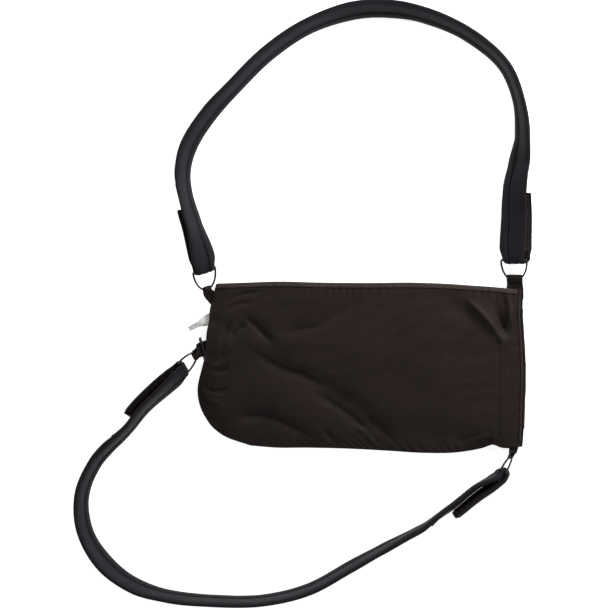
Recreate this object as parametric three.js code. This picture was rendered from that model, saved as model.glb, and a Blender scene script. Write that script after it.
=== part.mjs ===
import * as THREE from "three";

// Sizes in millimetres.
const POUCH_LENGTH = 400; // elbow to hand end
const POUCH_HEIGHT = 207;
const POUCH_LOFT = 13; // room between the two layers
const SEAM_LIFT = 1.8; // of the layers beside the tabs
const CLOTH_THICKNESS = 1.2;
const CLEARANCE = 0.3; // between pieces that touch
const BINDING_WIDTH = 6.5;
const BINDING_THICKNESS = 0.8;
const STRAP_WIDTH = 33;
const STRAP_THICKNESS = 6.5;
const STRAP_END_THICKNESS = 4; // pressed flat where it folds back
const STRAP_FOLD_WIDTH = 27; // bunched inside the ring
const FLAP_LENGTH = 88;
const SHOULDER_RISE = 310; // rings to the top of the upper loop
const WAIST_DROP = 268; // rings to the bottom of the lower loop
const WEBBING_WIDTH = 25;
const WEBBING_THICKNESS = 1.2;
const TAB_FOLD_WIDTH = 17;
const TAB_REACH = 15; // longest way from seam to ring
const TAB_SEWN_DEPTH = 10;
const TAB_FLAT_SHARE = 0.3; // of the way to the ring, before the webbing turns up
const RING_WIDTH = 34.5; // over the wire
const RING_LENGTH = 28.5; // over the wire
const RING_WIRE = 2.5;
const RING_CORNER = 2.6;
const SLIDE_WIDTH = 30;
const SLIDE_HEIGHT = 14;
const SLIDE_THICKNESS = 1.8;
const SLIDE_BAR = 1.8;
const LABEL_LENGTH = 32;
const LABEL_WIDTH = 13;
const LABEL_THICKNESS = 0.5;

const RING_SPAN = RING_LENGTH - RING_WIRE;
const FOLD_INSIDE = RING_WIRE / 2 + CLEARANCE + 0.05;
const FLAP_OFFSET = FOLD_INSIDE + STRAP_END_THICKNESS / 2;
const FLAP_STEPS = 8;
const RUN_STEPS = 12;
const PATCH_THICKNESS = (2 * FOLD_INSIDE - 4.5 * CLEARANCE) / 2;
const TAB_STACK = 2 * WEBBING_THICKNESS;
const FRONT_CELLS = 30;
const BACK_CELLS = 16;
const PANEL_ROWS = 16;

// Edges of the pouch as shares of its length and height.
const SIDE_EDGES = [
  { down: 0, left: 0.055, right: 0.994 },
  { down: 0.1, left: 0.043, right: 0.992 },
  { down: 0.16, left: 0.036, right: 0.991 },
  { down: 0.22, left: 0.036, right: 0.993 },
  { down: 0.29, left: 0.026, right: 0.995 },
  { down: 0.35, left: 0.025, right: 0.997 },
  { down: 0.39, left: 0.026, right: 0.998 },
  { down: 0.44, left: 0.03, right: 0.999 },
  { down: 0.47, left: 0.03, right: 1 },
  { down: 0.52, left: 0.027, right: 1 },
  { down: 0.58, left: 0.004, right: 1 },
  { down: 0.62, left: 0, right: 1 },
  { down: 0.7, left: 0, right: 0.998 },
  { down: 0.77, left: 0.009, right: 0.997 },
  { down: 0.83, left: 0.024, right: 0.996 },
  { down: 0.895, left: 0.049, right: 0.995 },
  { down: 0.955, left: 0.095, right: 0.993 },
  { down: 1, left: 0.162, right: 0.991 },
];
const LONG_EDGES = [
  { along: 0, top: 0.006, bottom: 0.959 },
  { along: 0.1, top: 0, bottom: 0.971 },
  { along: 0.2, top: -0.006, bottom: 0.971 },
  { along: 0.35, top: 0, bottom: 0.976 },
  { along: 0.5, top: 0.002, bottom: 0.988 },
  { along: 0.65, top: 0, bottom: 1.002 },
  { along: 0.75, top: 0.006, bottom: 1 },
  { along: 0.85, top: 0.018, bottom: 0.974 },
  { along: 0.9, top: 0.024, bottom: 0.952 },
  { along: 0.935, top: 0.03, bottom: 0.971 },
  { along: 1, top: 0.045, bottom: 0.965 },
];
const FRONT_SET_BACK = 0.01; // of the length, at the hand end

// Folds of the front layer: from, to (shares of length and height), half width and height (shares of loft).
const FOLDS = [
  { x1: 0.14, y1: 0.39, x2: 0.32, y2: 0.54, width: 1.2, height: -0.42 },
  { x1: 0.32, y1: 0.54, x2: 0.43, y2: 0.66, width: 1.3, height: -0.5 },
  { x1: 0.43, y1: 0.66, x2: 0.56, y2: 0.93, width: 1.2, height: -0.5 },
  { x1: 0.31, y1: 0.22, x2: 0.4, y2: 0.24, width: 0.9, height: -0.35 },
  { x1: 0.4, y1: 0.24, x2: 0.51, y2: 0.07, width: 0.9, height: -0.4 },
  { x1: 0.11, y1: 0.78, x2: 0.24, y2: 0.77, width: 0.9, height: -0.4 },
  { x1: 0.24, y1: 0.77, x2: 0.35, y2: 0.94, width: 0.9, height: -0.4 },
  { x1: 0.13, y1: 0.16, x2: 0.22, y2: 0.36, width: 0.9, height: -0.35 },
  { x1: 0.49, y1: 0.88, x2: 0.545, y2: 0.97, width: 0.8, height: 0.4 },
  { x1: 0.84, y1: 0.1, x2: 0.94, y2: 0.36, width: 0.9, height: 0.3 },
  { x1: 0.918, y1: 0.07, x2: 0.92, y2: 0.3, width: 0.7, height: -0.4 },
];

// Where each ring hangs. Headings and leans in degrees; reach is a share of TAB_REACH.
// side is 1 where its strap sets out and -1 where its strap arrives.
const ENDS = {
  top_left: { along: 0.036, down: 0.068, heading: 132, ringHeading: 112,
    reach: 0.66, lean: 32, pitch: 14, splay: 0, skew: 0, side: 1 },
  top_right: { along: 0.968, down: 0.046, heading: 90, ringHeading: 93,
    reach: 0.85, lean: 15, pitch: 10, splay: 0, skew: 4.5, side: -1 },
  bottom_right: { along: 0.964, down: 0.965, heading: 262, ringHeading: 234,
    reach: 0.62, lean: 80, pitch: 14, splay: 22, skew: 0, side: 1 },
  side: { along: 0.026, down: 0.385, heading: 192, ringHeading: 226,
    reach: 0.95, lean: 60, pitch: 12, splay: 8, skew: 0, side: -1 },
};

// Middle of each strap as shares of the way between its rings and of its rise, with its lean in degrees.
const SHOULDER_ROUTE = [
  { along: -0.032, out: 0.181, lean: 57 },
  { along: -0.049, out: 0.284, lean: 61 },
  { along: -0.048, out: 0.4, lean: 60 },
  { along: -0.025, out: 0.491, lean: 56 },
  { along: 0.04, out: 0.608, lean: 57 },
  { along: 0.12, out: 0.71, lean: 61 },
  { along: 0.232, out: 0.839, lean: 61 },
  { along: 0.361, out: 0.94, lean: 61 },
  { along: 0.507, out: 0.997, lean: 55 },
  { along: 0.622, out: 1, lean: 56 },
  { along: 0.734, out: 0.971, lean: 62 },
  { along: 0.872, out: 0.891, lean: 67 },
  { along: 0.986, out: 0.765, lean: 71 },
  { along: 1.029, out: 0.633, lean: 72 },
  { along: 1.039, out: 0.492, lean: 64 },
  { along: 1.025, out: 0.369, lean: 43 },
  { along: 1.013, out: 0.271, lean: 32 },
  { along: 1.007, out: 0.161, lean: 20 },
];
const WAIST_ROUTE = [
  { along: 0.054, out: 0.104, lean: 88 },
  { along: 0.104, out: 0.218, lean: 90 },
  { along: 0.151, out: 0.303, lean: 88 },
  { along: 0.194, out: 0.374, lean: 86 },
  { along: 0.269, out: 0.491, lean: 77 },
  { along: 0.34, out: 0.612, lean: 73 },
  { along: 0.438, out: 0.771, lean: 73 },
  { along: 0.558, out: 0.884, lean: 74 },
  { along: 0.693, out: 0.954, lean: 73 },
  { along: 0.832, out: 1, lean: 70 },
  { along: 0.939, out: 1, lean: 61 },
  { along: 1.039, out: 0.946, lean: 55 },
  { along: 1.121, out: 0.839, lean: 61 },
  { along: 1.164, out: 0.689, lean: 65 },
  { along: 1.157, out: 0.525, lean: 68 },
  { along: 1.115, out: 0.374, lean: 70 },
  { along: 1.079, out: 0.22, lean: 68 },
];

// Strap section, as shares of width (inner edge to outer edge) and thickness (back to front).
const STRAP_SECTION = [
  [-0.45, -0.5], [0, -0.5], [0.45, -0.5], [0.5, -0.22], [0.5, 0.14], [0.43, 0.42], [0.2, 0.5],
  [-0.06, 0.42], [-0.17, 0.12], [-0.28, 0.42], [-0.43, 0.38], [-0.5, 0.1], [-0.5, -0.25],
];

const rad = THREE.MathUtils.degToRad;
const smooth = (x, low, high) => THREE.MathUtils.smoothstep(x, low, high);

const material = (color, roughness, metalness) =>
  new THREE.MeshStandardMaterial({ color, roughness, metalness });

const MATERIALS = {
  cloth: () => material(0x282120, 0.9, 0),
  binding: () => material(0x423936, 0.85, 0),
  strap: () => material(0x26272c, 0.85, 0),
  webbing: () => material(0x1f1d1e, 0.8, 0),
  metal: () => material(0x6a6865, 0.3, 1),
  loop: () => material(0x3a322d, 0.95, 0),
  hook: () => material(0x222222, 0.8, 0),
  plastic: () => material(0x2a2a2b, 0.4, 0),
  ribbon: () => material(0xd7d5d2, 0.45, 0),
};

const group = new THREE.Group();

function add(name, geometry, kind) {
  const mesh = new THREE.Mesh(geometry, MATERIALS[kind]());
  mesh.name = name;
  group.add(mesh);
}

// Moves every vertex of a geometry to where place(x, y, z) says.
function remap(geometry, place) {
  const positions = geometry.attributes.position;
  const point = new THREE.Vector3();
  for (let i = 0; i < positions.count; i += 1) {
    point.fromBufferAttribute(positions, i);
    place(point);
    positions.setXYZ(i, point.x, point.y, point.z);
  }
  geometry.computeVertexNormals();
  return geometry;
}

// Value of a table's column at x, straight between its rows.
function lookUp(rows, key, column, x) {
  let i = 0;
  while (i < rows.length - 2 && rows[i + 1][key] < x) {
    i += 1;
  }
  const share = (x - rows[i][key]) / (rows[i + 1][key] - rows[i][key]);
  return THREE.MathUtils.lerp(rows[i][column], rows[i + 1][column], share);
}

// Point of the pouch's outline grid: across runs from elbow to hand end, down from mouth to bottom.
function outlinePoint(across, down, setBack) {
  const left = lookUp(SIDE_EDGES, "down", "left", down);
  const right = lookUp(SIDE_EDGES, "down", "right", down) - setBack;
  const top = lookUp(LONG_EDGES, "along", "top", across);
  const bottom = lookUp(LONG_EDGES, "along", "bottom", across);
  const x = THREE.MathUtils.lerp(left, right, across) * POUCH_LENGTH;
  const y = -THREE.MathUtils.lerp(top, bottom, down) * POUCH_HEIGHT;
  return new THREE.Vector2(x, y);
}

function pouchPoint(along, down) {
  return new THREE.Vector2(along * POUCH_LENGTH, -down * POUCH_HEIGHT);
}

// Distance from a point to a straight piece of a fold.
function distanceTo(point, from, to) {
  const way = to.clone().sub(from);
  const share = THREE.MathUtils.clamp(point.clone().sub(from).dot(way) / way.lengthSq(), 0, 1);
  return point.distanceTo(from.clone().addScaledVector(way, share));
}

function foldHeight(point) {
  let sum = 0;
  for (const fold of FOLDS) {
    const from = pouchPoint(fold.x1, fold.y1);
    const to = pouchPoint(fold.x2, fold.y2);
    const reach = distanceTo(point, from, to) / (fold.width * POUCH_LOFT);
    sum += fold.height * Math.exp(-reach * reach);
  }
  return THREE.MathUtils.clamp(sum, -0.62, 0.5);
}

// Room that the layers leave for the webbing and the label sewn between them.
function sewnRoom(point) {
  let room = 0;
  for (const end of Object.values(ENDS)) {
    const away = point.distanceTo(pouchPoint(end.along, end.down));
    room = Math.max(room, (TAB_STACK + CLEARANCE) * (1 - smooth(away, 22, 42)));
  }
  const away = point.distanceTo(labelBase());
  return Math.max(room, (LABEL_THICKNESS + CLEARANCE) * (1 - smooth(away, 10, 24)));
}

// How far the pull of the straps lifts both layers off the floor beside the tabs.
function seamLift(point) {
  let lift = 0;
  for (const end of Object.values(ENDS)) {
    const away = point.distanceTo(pouchPoint(end.along, end.down));
    lift = Math.max(lift, SEAM_LIFT * (1 - smooth(away, 20, 70)));
  }
  return lift;
}

function labelBase() {
  return pouchPoint(0.044, 0.2);
}

function backHeight(across, down) {
  return seamLift(outlinePoint(across, down, 0));
}

// Height of the underside of the front layer.
function frontHeight(across, down) {
  const point = outlinePoint(across, down, FRONT_SET_BACK);
  const fromLeft = across * POUCH_LENGTH;
  const fromRight = (1 - across) * POUCH_LENGTH;
  const fromTop = down * POUCH_HEIGHT;
  const fromBottom = (1 - down) * POUCH_HEIGHT;
  const closed = (away, reach) => 1 - Math.exp(-away / reach);
  const pillow =
    POUCH_LOFT *
    closed(fromLeft, 40) *
    closed(fromBottom, 32) *
    (0.5 + 0.5 * closed(fromTop, 45)) *
    (0.6 + 0.4 * closed(fromRight, 50)) *
    (0.15 + 0.85 * closed(fromRight + fromTop, 35));
  const free = pillow * (1 + foldHeight(point));
  const room = sewnRoom(point);
  return seamLift(point) + CLOTH_THICKNESS + CLEARANCE + Math.hypot(free, room);
}

// Share of the height at which a row of a panel's grid lies, closer together at the rounded bottom.
function rowAt(row) {
  if (row === 1) {
    return (BINDING_WIDTH + 1) / POUCH_HEIGHT;
  }
  return Math.sin((row / PANEL_ROWS) * Math.PI * 0.5) ** 1.15;
}

// Height on a panel's flat facets, between the points of its grid.
function onFacets(heightAt, cellsAcross) {
  return (across, down) => {
    let row = 0;
    while (row < PANEL_ROWS - 1 && rowAt(row + 1) < down) {
      row += 1;
    }
    const column = Math.min(Math.floor(across * cellsAcross), cellsAcross - 1);
    const low = (at) => heightAt(column / cellsAcross, at);
    const high = (at) => heightAt((column + 1) / cellsAcross, at);
    const between = (at) => THREE.MathUtils.lerp(low(at), high(at), across * cellsAcross - column);
    const share = (down - rowAt(row)) / (rowAt(row + 1) - rowAt(row));
    return THREE.MathUtils.lerp(between(rowAt(row)), between(rowAt(row + 1)), share);
  };
}

// Cuts the squares of a box's back face along the same diagonals as its front face has.
function matchDiagonals(box) {
  const { start, count } = box.groups[5];
  const index = box.index;
  for (let i = start; i < start + count; i += 6) {
    const [a, b, c, d] = [0, 1, 4, 2].map((k) => index.getX(i + k));
    [a, b, c, a, c, d].forEach((corner, k) => index.setX(i + k, corner));
  }
  return box;
}

function panel(cellsAcross, setBack, heightAt) {
  const geometry = matchDiagonals(new THREE.BoxGeometry(1, 1, 1, cellsAcross, PANEL_ROWS, 1));
  return remap(geometry, (p) => {
    const across = p.x + 0.5;
    const down = rowAt(Math.round((0.5 - p.y) * PANEL_ROWS));
    const upper = p.z > 0 ? CLOTH_THICKNESS : 0;
    const flat = outlinePoint(across, down, setBack);
    p.set(flat.x, flat.y, heightAt(across, down) + upper);
  });
}

function addPanels() {
  add("back_panel", panel(BACK_CELLS, 0, backHeight), "cloth");
  add("front_panel", panel(FRONT_CELLS, FRONT_SET_BACK, frontHeight), "cloth");
}

// Binding folded over an edge: one leg on the cloth, one down its edge.
function bindingShape(width) {
  const outer = CLEARANCE + BINDING_THICKNESS;
  return new THREE.Shape([
    new THREE.Vector2(width, CLEARANCE),
    new THREE.Vector2(width, outer),
    new THREE.Vector2(width / 2, outer),
    new THREE.Vector2(-outer, outer),
    new THREE.Vector2(-outer, -CLOTH_THICKNESS),
    new THREE.Vector2(-CLEARANCE, -CLOTH_THICKNESS),
    new THREE.Vector2(-CLEARANCE, CLEARANCE),
    new THREE.Vector2(width / 2, CLEARANCE),
  ]);
}

// A binding along one edge. edgeAt(share) gives the edge as {across, down}, inward the way into the cloth.
function binding(width, steps, flip, setBack, heightAt, edgeAt, inward) {
  const settings = { depth: steps, steps, bevelEnabled: false };
  const geometry = new THREE.ExtrudeGeometry(bindingShape(width), settings);
  return remap(geometry, (p) => {
    const share = flip ? p.z / steps : 1 - p.z / steps;
    const edge = edgeAt(share);
    const into = Math.max(p.x, 0);
    const down = edge.down + (inward.down * into) / POUCH_HEIGHT;
    const across = edge.across + (inward.across * into) / POUCH_LENGTH;
    const flat = outlinePoint(across, down, setBack);
    const beyond = Math.min(p.x, 0);
    const x = flat.x + inward.across * beyond;
    const y = flat.y - inward.down * beyond;
    p.set(x, y, heightAt(across, down) + CLOTH_THICKNESS + p.y);
  });
}

function addBindings() {
  const endWidth = BINDING_WIDTH / 2;
  const topStop = 1 - (endWidth + 2 * CLEARANCE + BINDING_THICKNESS) / POUCH_LENGTH;
  const mouth = (share) => ({ across: Math.min(share, topStop), down: 0 });
  const handEnd = (share) => ({ across: 1, down: 0.003 + 0.965 * share });
  const clearOfTabs = (share) => ({ across: 1, down: 0.115 + 0.77 * share });
  const inDown = { across: 0, down: 1 };
  const inLeft = { across: -1, down: 0 };
  const upper = onFacets(frontHeight, FRONT_CELLS);
  const lower = onFacets(backHeight, BACK_CELLS);
  add("front_top_binding",
    binding(BINDING_WIDTH, FRONT_CELLS, false, FRONT_SET_BACK, upper, mouth, inDown), "binding");
  add("front_end_binding",
    binding(endWidth, 20, false, FRONT_SET_BACK, upper, handEnd, inLeft), "binding");
  add("back_end_binding",
    binding(endWidth, 16, false, 0, lower, clearOfTabs, inLeft), "binding");
}

// Axes at a point of a band: tangent, width and face, for a lean about the tangent.
function axesFor(tangent, lean) {
  const t = tangent.clone().normalize();
  const level = new THREE.Vector3(-t.y, t.x, 0).normalize();
  const up = new THREE.Vector3().crossVectors(t, level);
  const angle = rad(lean);
  const w = level.clone().multiplyScalar(Math.cos(angle)).addScaledVector(up, Math.sin(angle));
  const n = new THREE.Vector3().crossVectors(t, w);
  return { t, w, n };
}

// Height at which a leaning strap rests on the floor.
function restingHeight(lean, offset, splay) {
  const angle = rad(lean);
  const flat = Math.abs(Math.cos(angle)) + Math.sin(rad(Math.abs(splay) / 2));
  return (STRAP_WIDTH / 2) * Math.sin(angle) + (STRAP_THICKNESS / 2 + offset) * flat;
}

// Height of a ring's bar: the ring and the strap both stay off the floor.
function ringHeight(end) {
  const standing = (RING_WIDTH / 2) * Math.sin(rad(end.lean)) + CLEARANCE;
  return Math.max(restingHeight(end.lean, FLAP_OFFSET, 0), standing + RING_WIRE / 2);
}

// Ring and tab of one end of a strap.
function endFrame(end) {
  const base = pouchPoint(end.along, end.down);
  const mean = rad((end.heading + end.ringHeading) / 2);
  const reach = end.reach * TAB_REACH;
  const barHeight = ringHeight(end);
  const heading = rad(end.ringHeading);
  const pitch = rad(end.pitch);
  const axis = new THREE.Vector3(
    Math.cos(heading) * Math.cos(pitch), Math.sin(heading) * Math.cos(pitch), Math.sin(pitch));
  const apex = new THREE.Vector3(
    base.x + Math.cos(mean) * reach, base.y + Math.sin(mean) * reach,
    barHeight - RING_SPAN * Math.sin(pitch));
  const bar = apex.clone().addScaledVector(axis, RING_SPAN);
  const lift = seamLift(base) + CLOTH_THICKNESS + CLEARANCE + WEBBING_THICKNESS;
  return { base: new THREE.Vector3(base.x, base.y, lift), apex, axis, bar };
}

// The ring's curved side rises from its lowest point by this much, at a distance from its middle.
function ringRise(across) {
  const half = (RING_WIDTH - RING_WIRE) / 2;
  const depth = RING_SPAN - RING_CORNER;
  return depth * (1 - Math.sqrt(1 - (across / half) ** 2));
}

function ringPath() {
  const half = (RING_WIDTH - RING_WIRE) / 2;
  const depth = RING_SPAN - RING_CORNER;
  const points = [];
  const put = (x, y) => points.push(new THREE.Vector3(x, y, 0));
  const straight = half - RING_CORNER;
  for (let i = -2; i <= 2; i += 1) {
    put((i / 2) * straight, 0);
  }
  put(straight + RING_CORNER * 0.707, RING_CORNER * 0.293);
  for (let i = 0; i <= 12; i += 1) {
    const turn = (i / 12) * Math.PI;
    put(Math.cos(turn) * half, RING_CORNER + Math.sin(turn) * depth);
  }
  put(-straight - RING_CORNER * 0.707, RING_CORNER * 0.293);
  return new THREE.CatmullRomCurve3(points, true, "centripetal");
}

function ringGeometry(end) {
  const frame = endFrame(end);
  const travel = frame.axis.clone().multiplyScalar(end.side);
  const { w } = axesFor(travel, end.lean);
  const along = frame.axis.clone().negate();
  const face = new THREE.Vector3().crossVectors(w, along);
  const geometry = new THREE.TubeGeometry(ringPath(), 32, RING_WIRE / 2, 6, true);
  const place = new THREE.Matrix4().makeBasis(w, along, face).setPosition(frame.bar);
  return geometry.applyMatrix4(place);
}

// Side view of a webbing loop: x runs from the seam to the ring, y through the webbing.
function tabShape(length) {
  const t = WEBBING_THICKNESS;
  const hole = { x: RING_WIRE / 2 + 1.2, y: RING_WIRE / 2 + CLEARANCE + 0.25 };
  const ellipse = (turn, grow) => new THREE.Vector2(
    length + Math.cos(turn) * (hole.x + grow), Math.sin(turn) * (hole.y + grow));
  const shape = new THREE.Shape();
  const legs = [];
  const neck = length - hole.x - t - 1;
  for (let i = 0; i <= 6; i += 1) {
    legs.push(new THREE.Vector2(THREE.MathUtils.lerp(-TAB_SEWN_DEPTH, neck, i / 6), -t));
  }
  const outline = [...legs];
  for (let i = 0; i <= 6; i += 1) {
    outline.push(ellipse(-Math.PI * 0.62 + (i / 6) * Math.PI * 1.24, t));
  }
  for (const leg of legs.reverse()) {
    outline.push(new THREE.Vector2(leg.x, t));
  }
  shape.setFromPoints(outline);
  const inside = [new THREE.Vector2(length - hole.x - 1.2, 0)];
  for (let i = 0; i <= 8; i += 1) {
    inside.push(ellipse(Math.PI * 0.7 - (i / 8) * Math.PI * 1.4, 0));
  }
  shape.holes.push(new THREE.Path(inside));
  return shape;
}

function tabCurve(end) {
  const frame = endFrame(end);
  const heading = rad(end.heading);
  const out = new THREE.Vector3(Math.cos(heading), Math.sin(heading), 0);
  const flat = frame.base.distanceTo(frame.apex) * TAB_FLAT_SHARE;
  const start = frame.base.clone().addScaledVector(out, flat);
  const handle = start.distanceTo(frame.apex) * 0.36;
  const curve = new THREE.CubicBezierCurve3(
    start, start.clone().addScaledVector(out, handle),
    frame.apex.clone().addScaledVector(frame.axis, -handle), frame.apex);
  return { frame, out, curve, flat, start, length: flat + curve.getLength() };
}

// Point and axes of a tab at a distance from the seam.
function tabAt(end, tab, away) {
  const bent = tab.length - tab.flat;
  const share = THREE.MathUtils.clamp((away - tab.flat) / bent, 0, 1);
  const point = tab.curve.getPointAt(share);
  const tangent = tab.curve.getTangentAt(share);
  if (away < tab.flat) {
    point.addScaledVector(tab.out, away - tab.flat);
  }
  if (away > tab.length) {
    point.addScaledVector(tab.frame.axis, away - tab.length);
  }
  const lean = end.side * end.lean * smooth(share, 0.1, 0.95);
  return { point, ...axesFor(tangent, lean) };
}

function tabGeometry(end) {
  const tab = tabCurve(end);
  const settings = { depth: 1, steps: 5, bevelEnabled: false };
  const geometry = new THREE.ExtrudeGeometry(tabShape(tab.length), settings);
  return remap(geometry, (p) => {
    const share = THREE.MathUtils.clamp(p.x / tab.length, 0, 1);
    const width = THREE.MathUtils.lerp(WEBBING_WIDTH, TAB_FOLD_WIDTH, smooth(share, 0, 0.9));
    const across = (0.5 - p.z) * width;
    const away = p.x + ringRise(across) * smooth(share, 0.35, 0.8);
    const at = tabAt(end, tab, away);
    const face = p.y;
    p.copy(at.point).addScaledVector(at.w, across).addScaledVector(at.n, face);
  });
}

function addEnds() {
  for (const [name, end] of Object.entries(ENDS)) {
    add("tab_" + name, tabGeometry(end), "webbing");
    add("ring_" + name, ringGeometry(end), "metal");
  }
}

// Middle line of a strap from one ring's bar to the other, as evenly spaced samples.
function strapSpine(startEnd, finishEnd, rise, route) {
  const start = endFrame(startEnd);
  const finish = endFrame(finishEnd);
  const flat = (v) => new THREE.Vector2(v.x, v.y);
  const span = flat(finish.bar).sub(flat(start.bar));
  const side = new THREE.Vector2(-span.y, span.x).normalize();
  const points = [flat(start.bar), flat(start.bar).addScaledVector(flat(start.axis), 14)];
  const leans = [startEnd.lean, startEnd.lean];
  for (const row of route) {
    points.push(flat(start.bar).addScaledVector(span, row.along).addScaledVector(side, row.out * rise));
    leans.push(row.lean);
  }
  points.push(flat(finish.bar).addScaledVector(flat(finish.axis), 14), flat(finish.bar));
  leans.push(finishEnd.lean, finishEnd.lean);
  const curve = new THREE.CatmullRomCurve3(
    points.map((p) => new THREE.Vector3(p.x, p.y, 0)), false, "centripetal");
  const samples = [];
  const count = 400;
  let length = 0;
  for (let i = 0; i <= count; i += 1) {
    const share = i / count;
    const point = curve.getPoint(share);
    length += i > 0 ? point.distanceTo(samples[i - 1].point) : 0;
    const place = Math.min(share * (leans.length - 1), leans.length - 1.000001);
    const k = Math.floor(place);
    const lean = THREE.MathUtils.lerp(leans[k], leans[k + 1], smooth(place - k, 0, 1));
    samples.push({ away: length, point, lean });
  }
  return { samples, length, startEnd, finishEnd };
}

function sampleSpine(spine, away) {
  const { samples } = spine;
  let i = 0;
  while (i < samples.length - 2 && samples[i + 1].away < away) {
    i += 1;
  }
  const share = (away - samples[i].away) / (samples[i + 1].away - samples[i].away);
  const point = samples[i].point.clone().lerp(samples[i + 1].point, share);
  return { point, lean: THREE.MathUtils.lerp(samples[i].lean, samples[i + 1].lean, share) };
}

// How far a place on the strap is from its nearer ring, and that ring's end.
function nearerEnd(spine, away) {
  const near = away < spine.length / 2;
  return {
    end: near ? spine.startEnd : spine.finishEnd,
    fromRing: near ? away : spine.length - away,
  };
}

function strapOffset(fromRing) {
  return FLAP_OFFSET * (1 - smooth(fromRing, FLAP_LENGTH + 3, FLAP_LENGTH + 45));
}

function strapSplay(end, fromRing) {
  const opening = smooth(fromRing, 0.1 * FLAP_LENGTH, 0.9 * FLAP_LENGTH);
  return end.splay * opening * (1 - smooth(fromRing, FLAP_LENGTH, FLAP_LENGTH + 45));
}

function spineHeight(spine, away) {
  const { lean } = sampleSpine(spine, away);
  const { end, fromRing } = nearerEnd(spine, away);
  const hump = Math.tan(rad(end.pitch)) * fromRing * Math.exp(-fromRing / 10);
  const above = ringHeight(end) - restingHeight(end.lean, FLAP_OFFSET, 0);
  const held = above * Math.exp(-((fromRing / 22) ** 2));
  return restingHeight(lean, strapOffset(fromRing), strapSplay(end, fromRing)) + hump + held;
}

function spineAt(spine, away) {
  const step = 0.5;
  const low = Math.max(away - step, 0);
  const high = Math.min(away + step, spine.length);
  const lift = (at) => {
    const { point } = sampleSpine(spine, at);
    return point.setZ(spineHeight(spine, at));
  };
  const tangent = lift(high).sub(lift(low));
  return { point: lift(away), tangent, lean: sampleSpine(spine, away).lean };
}

// Middle and axes of the upper run (layer 1) or of the folded-back flap (layer -1).
function layerAt(spine, away, layer) {
  const { point, tangent, lean } = spineAt(spine, away);
  const { end, fromRing } = nearerEnd(spine, away);
  const splay = strapSplay(end, fromRing);
  const skew = layer < 0 ? end.skew * smooth(fromRing, 0, FLAP_LENGTH) : 0;
  const middle = axesFor(tangent, lean);
  const own = axesFor(tangent, lean + (layer * splay) / 2);
  const centre = point
    .clone()
    .addScaledVector(middle.w, -STRAP_WIDTH / 2)
    .addScaledVector(own.w, STRAP_WIDTH / 2 + skew)
    .addScaledVector(own.n, layer * strapOffset(fromRing));
  const width = THREE.MathUtils.lerp(STRAP_FOLD_WIDTH, STRAP_WIDTH, smooth(fromRing, 1, 15));
  const swell = smooth(fromRing, FLAP_LENGTH + 5, FLAP_LENGTH + 55);
  const thickness = THREE.MathUtils.lerp(STRAP_END_THICKNESS, STRAP_THICKNESS, swell);
  return { centre, w: own.w, n: own.n.clone().multiplyScalar(layer), width, thickness };
}

// Stations of the turn round a ring's bar, from the flap to the upper run.
function foldStations(spine, away, outward) {
  const { point, tangent, lean } = spineAt(spine, away);
  const { w, n } = axesFor(tangent, lean);
  const back = tangent.clone().normalize().multiplyScalar(-outward);
  const stations = [];
  const steps = 7;
  for (let i = 1; i < steps; i += 1) {
    const turn = Math.PI * (1 - i / steps);
    const face = n.clone().multiplyScalar(Math.cos(turn)).addScaledVector(back, Math.sin(turn));
    stations.push({
      centre: point.clone().addScaledVector(face, FLAP_OFFSET),
      w, n: face, width: STRAP_FOLD_WIDTH, thickness: STRAP_END_THICKNESS,
    });
  }
  return stations;
}

// Stations beside one ring, a tenth of the flap apart, counted from the ring.
function ringSideStations(spine, outward, layer, count) {
  const stations = [];
  for (let i = 0; i <= count; i += 1) {
    const fromRing = (i * FLAP_LENGTH) / FLAP_STEPS;
    stations.push(layerAt(spine, outward > 0 ? fromRing : spine.length - fromRing, layer));
  }
  return stations;
}

function middleStations(spine, count) {
  const near = (RUN_STEPS * FLAP_LENGTH) / FLAP_STEPS;
  const stations = [];
  for (let i = 1; i < count; i += 1) {
    stations.push(layerAt(spine, THREE.MathUtils.lerp(near, spine.length - near, i / count), 1));
  }
  return stations;
}

// Sweeps a section of unit width and thickness through stations.
function sweep(section, stations) {
  const steps = stations.length - 1;
  const shape = new THREE.Shape(section.map(([x, y]) => new THREE.Vector2(x, y)));
  const geometry = new THREE.ExtrudeGeometry(shape, { depth: steps, steps, bevelEnabled: false });
  return remap(geometry, (p) => {
    const at = stations[Math.round(p.z)];
    const across = p.x * at.width;
    const through = p.y * at.thickness;
    p.copy(at.centre).addScaledVector(at.w, across).addScaledVector(at.n, through);
  });
}

function strapGeometry(spine) {
  const stations = [
    ...ringSideStations(spine, 1, -1, FLAP_STEPS).reverse(),
    ...foldStations(spine, 0, 1),
    ...ringSideStations(spine, 1, 1, RUN_STEPS),
    ...middleStations(spine, 25),
    ...ringSideStations(spine, -1, 1, RUN_STEPS).reverse(),
    ...foldStations(spine, spine.length, -1).reverse(),
    ...ringSideStations(spine, -1, -1, FLAP_STEPS),
  ];
  return sweep(STRAP_SECTION, stations);
}

// Swaps two corners of every face, so that a mirrored sweep faces outwards again.
function turnedInsideOut(geometry) {
  const positions = geometry.attributes.position;
  const one = new THREE.Vector3();
  const two = new THREE.Vector3();
  for (let i = 0; i < positions.count; i += 3) {
    one.fromBufferAttribute(positions, i + 1);
    two.fromBufferAttribute(positions, i + 2);
    positions.setXYZ(i + 1, two.x, two.y, two.z);
    positions.setXYZ(i + 2, one.x, one.y, one.z);
  }
  geometry.computeVertexNormals();
  return geometry;
}

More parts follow.
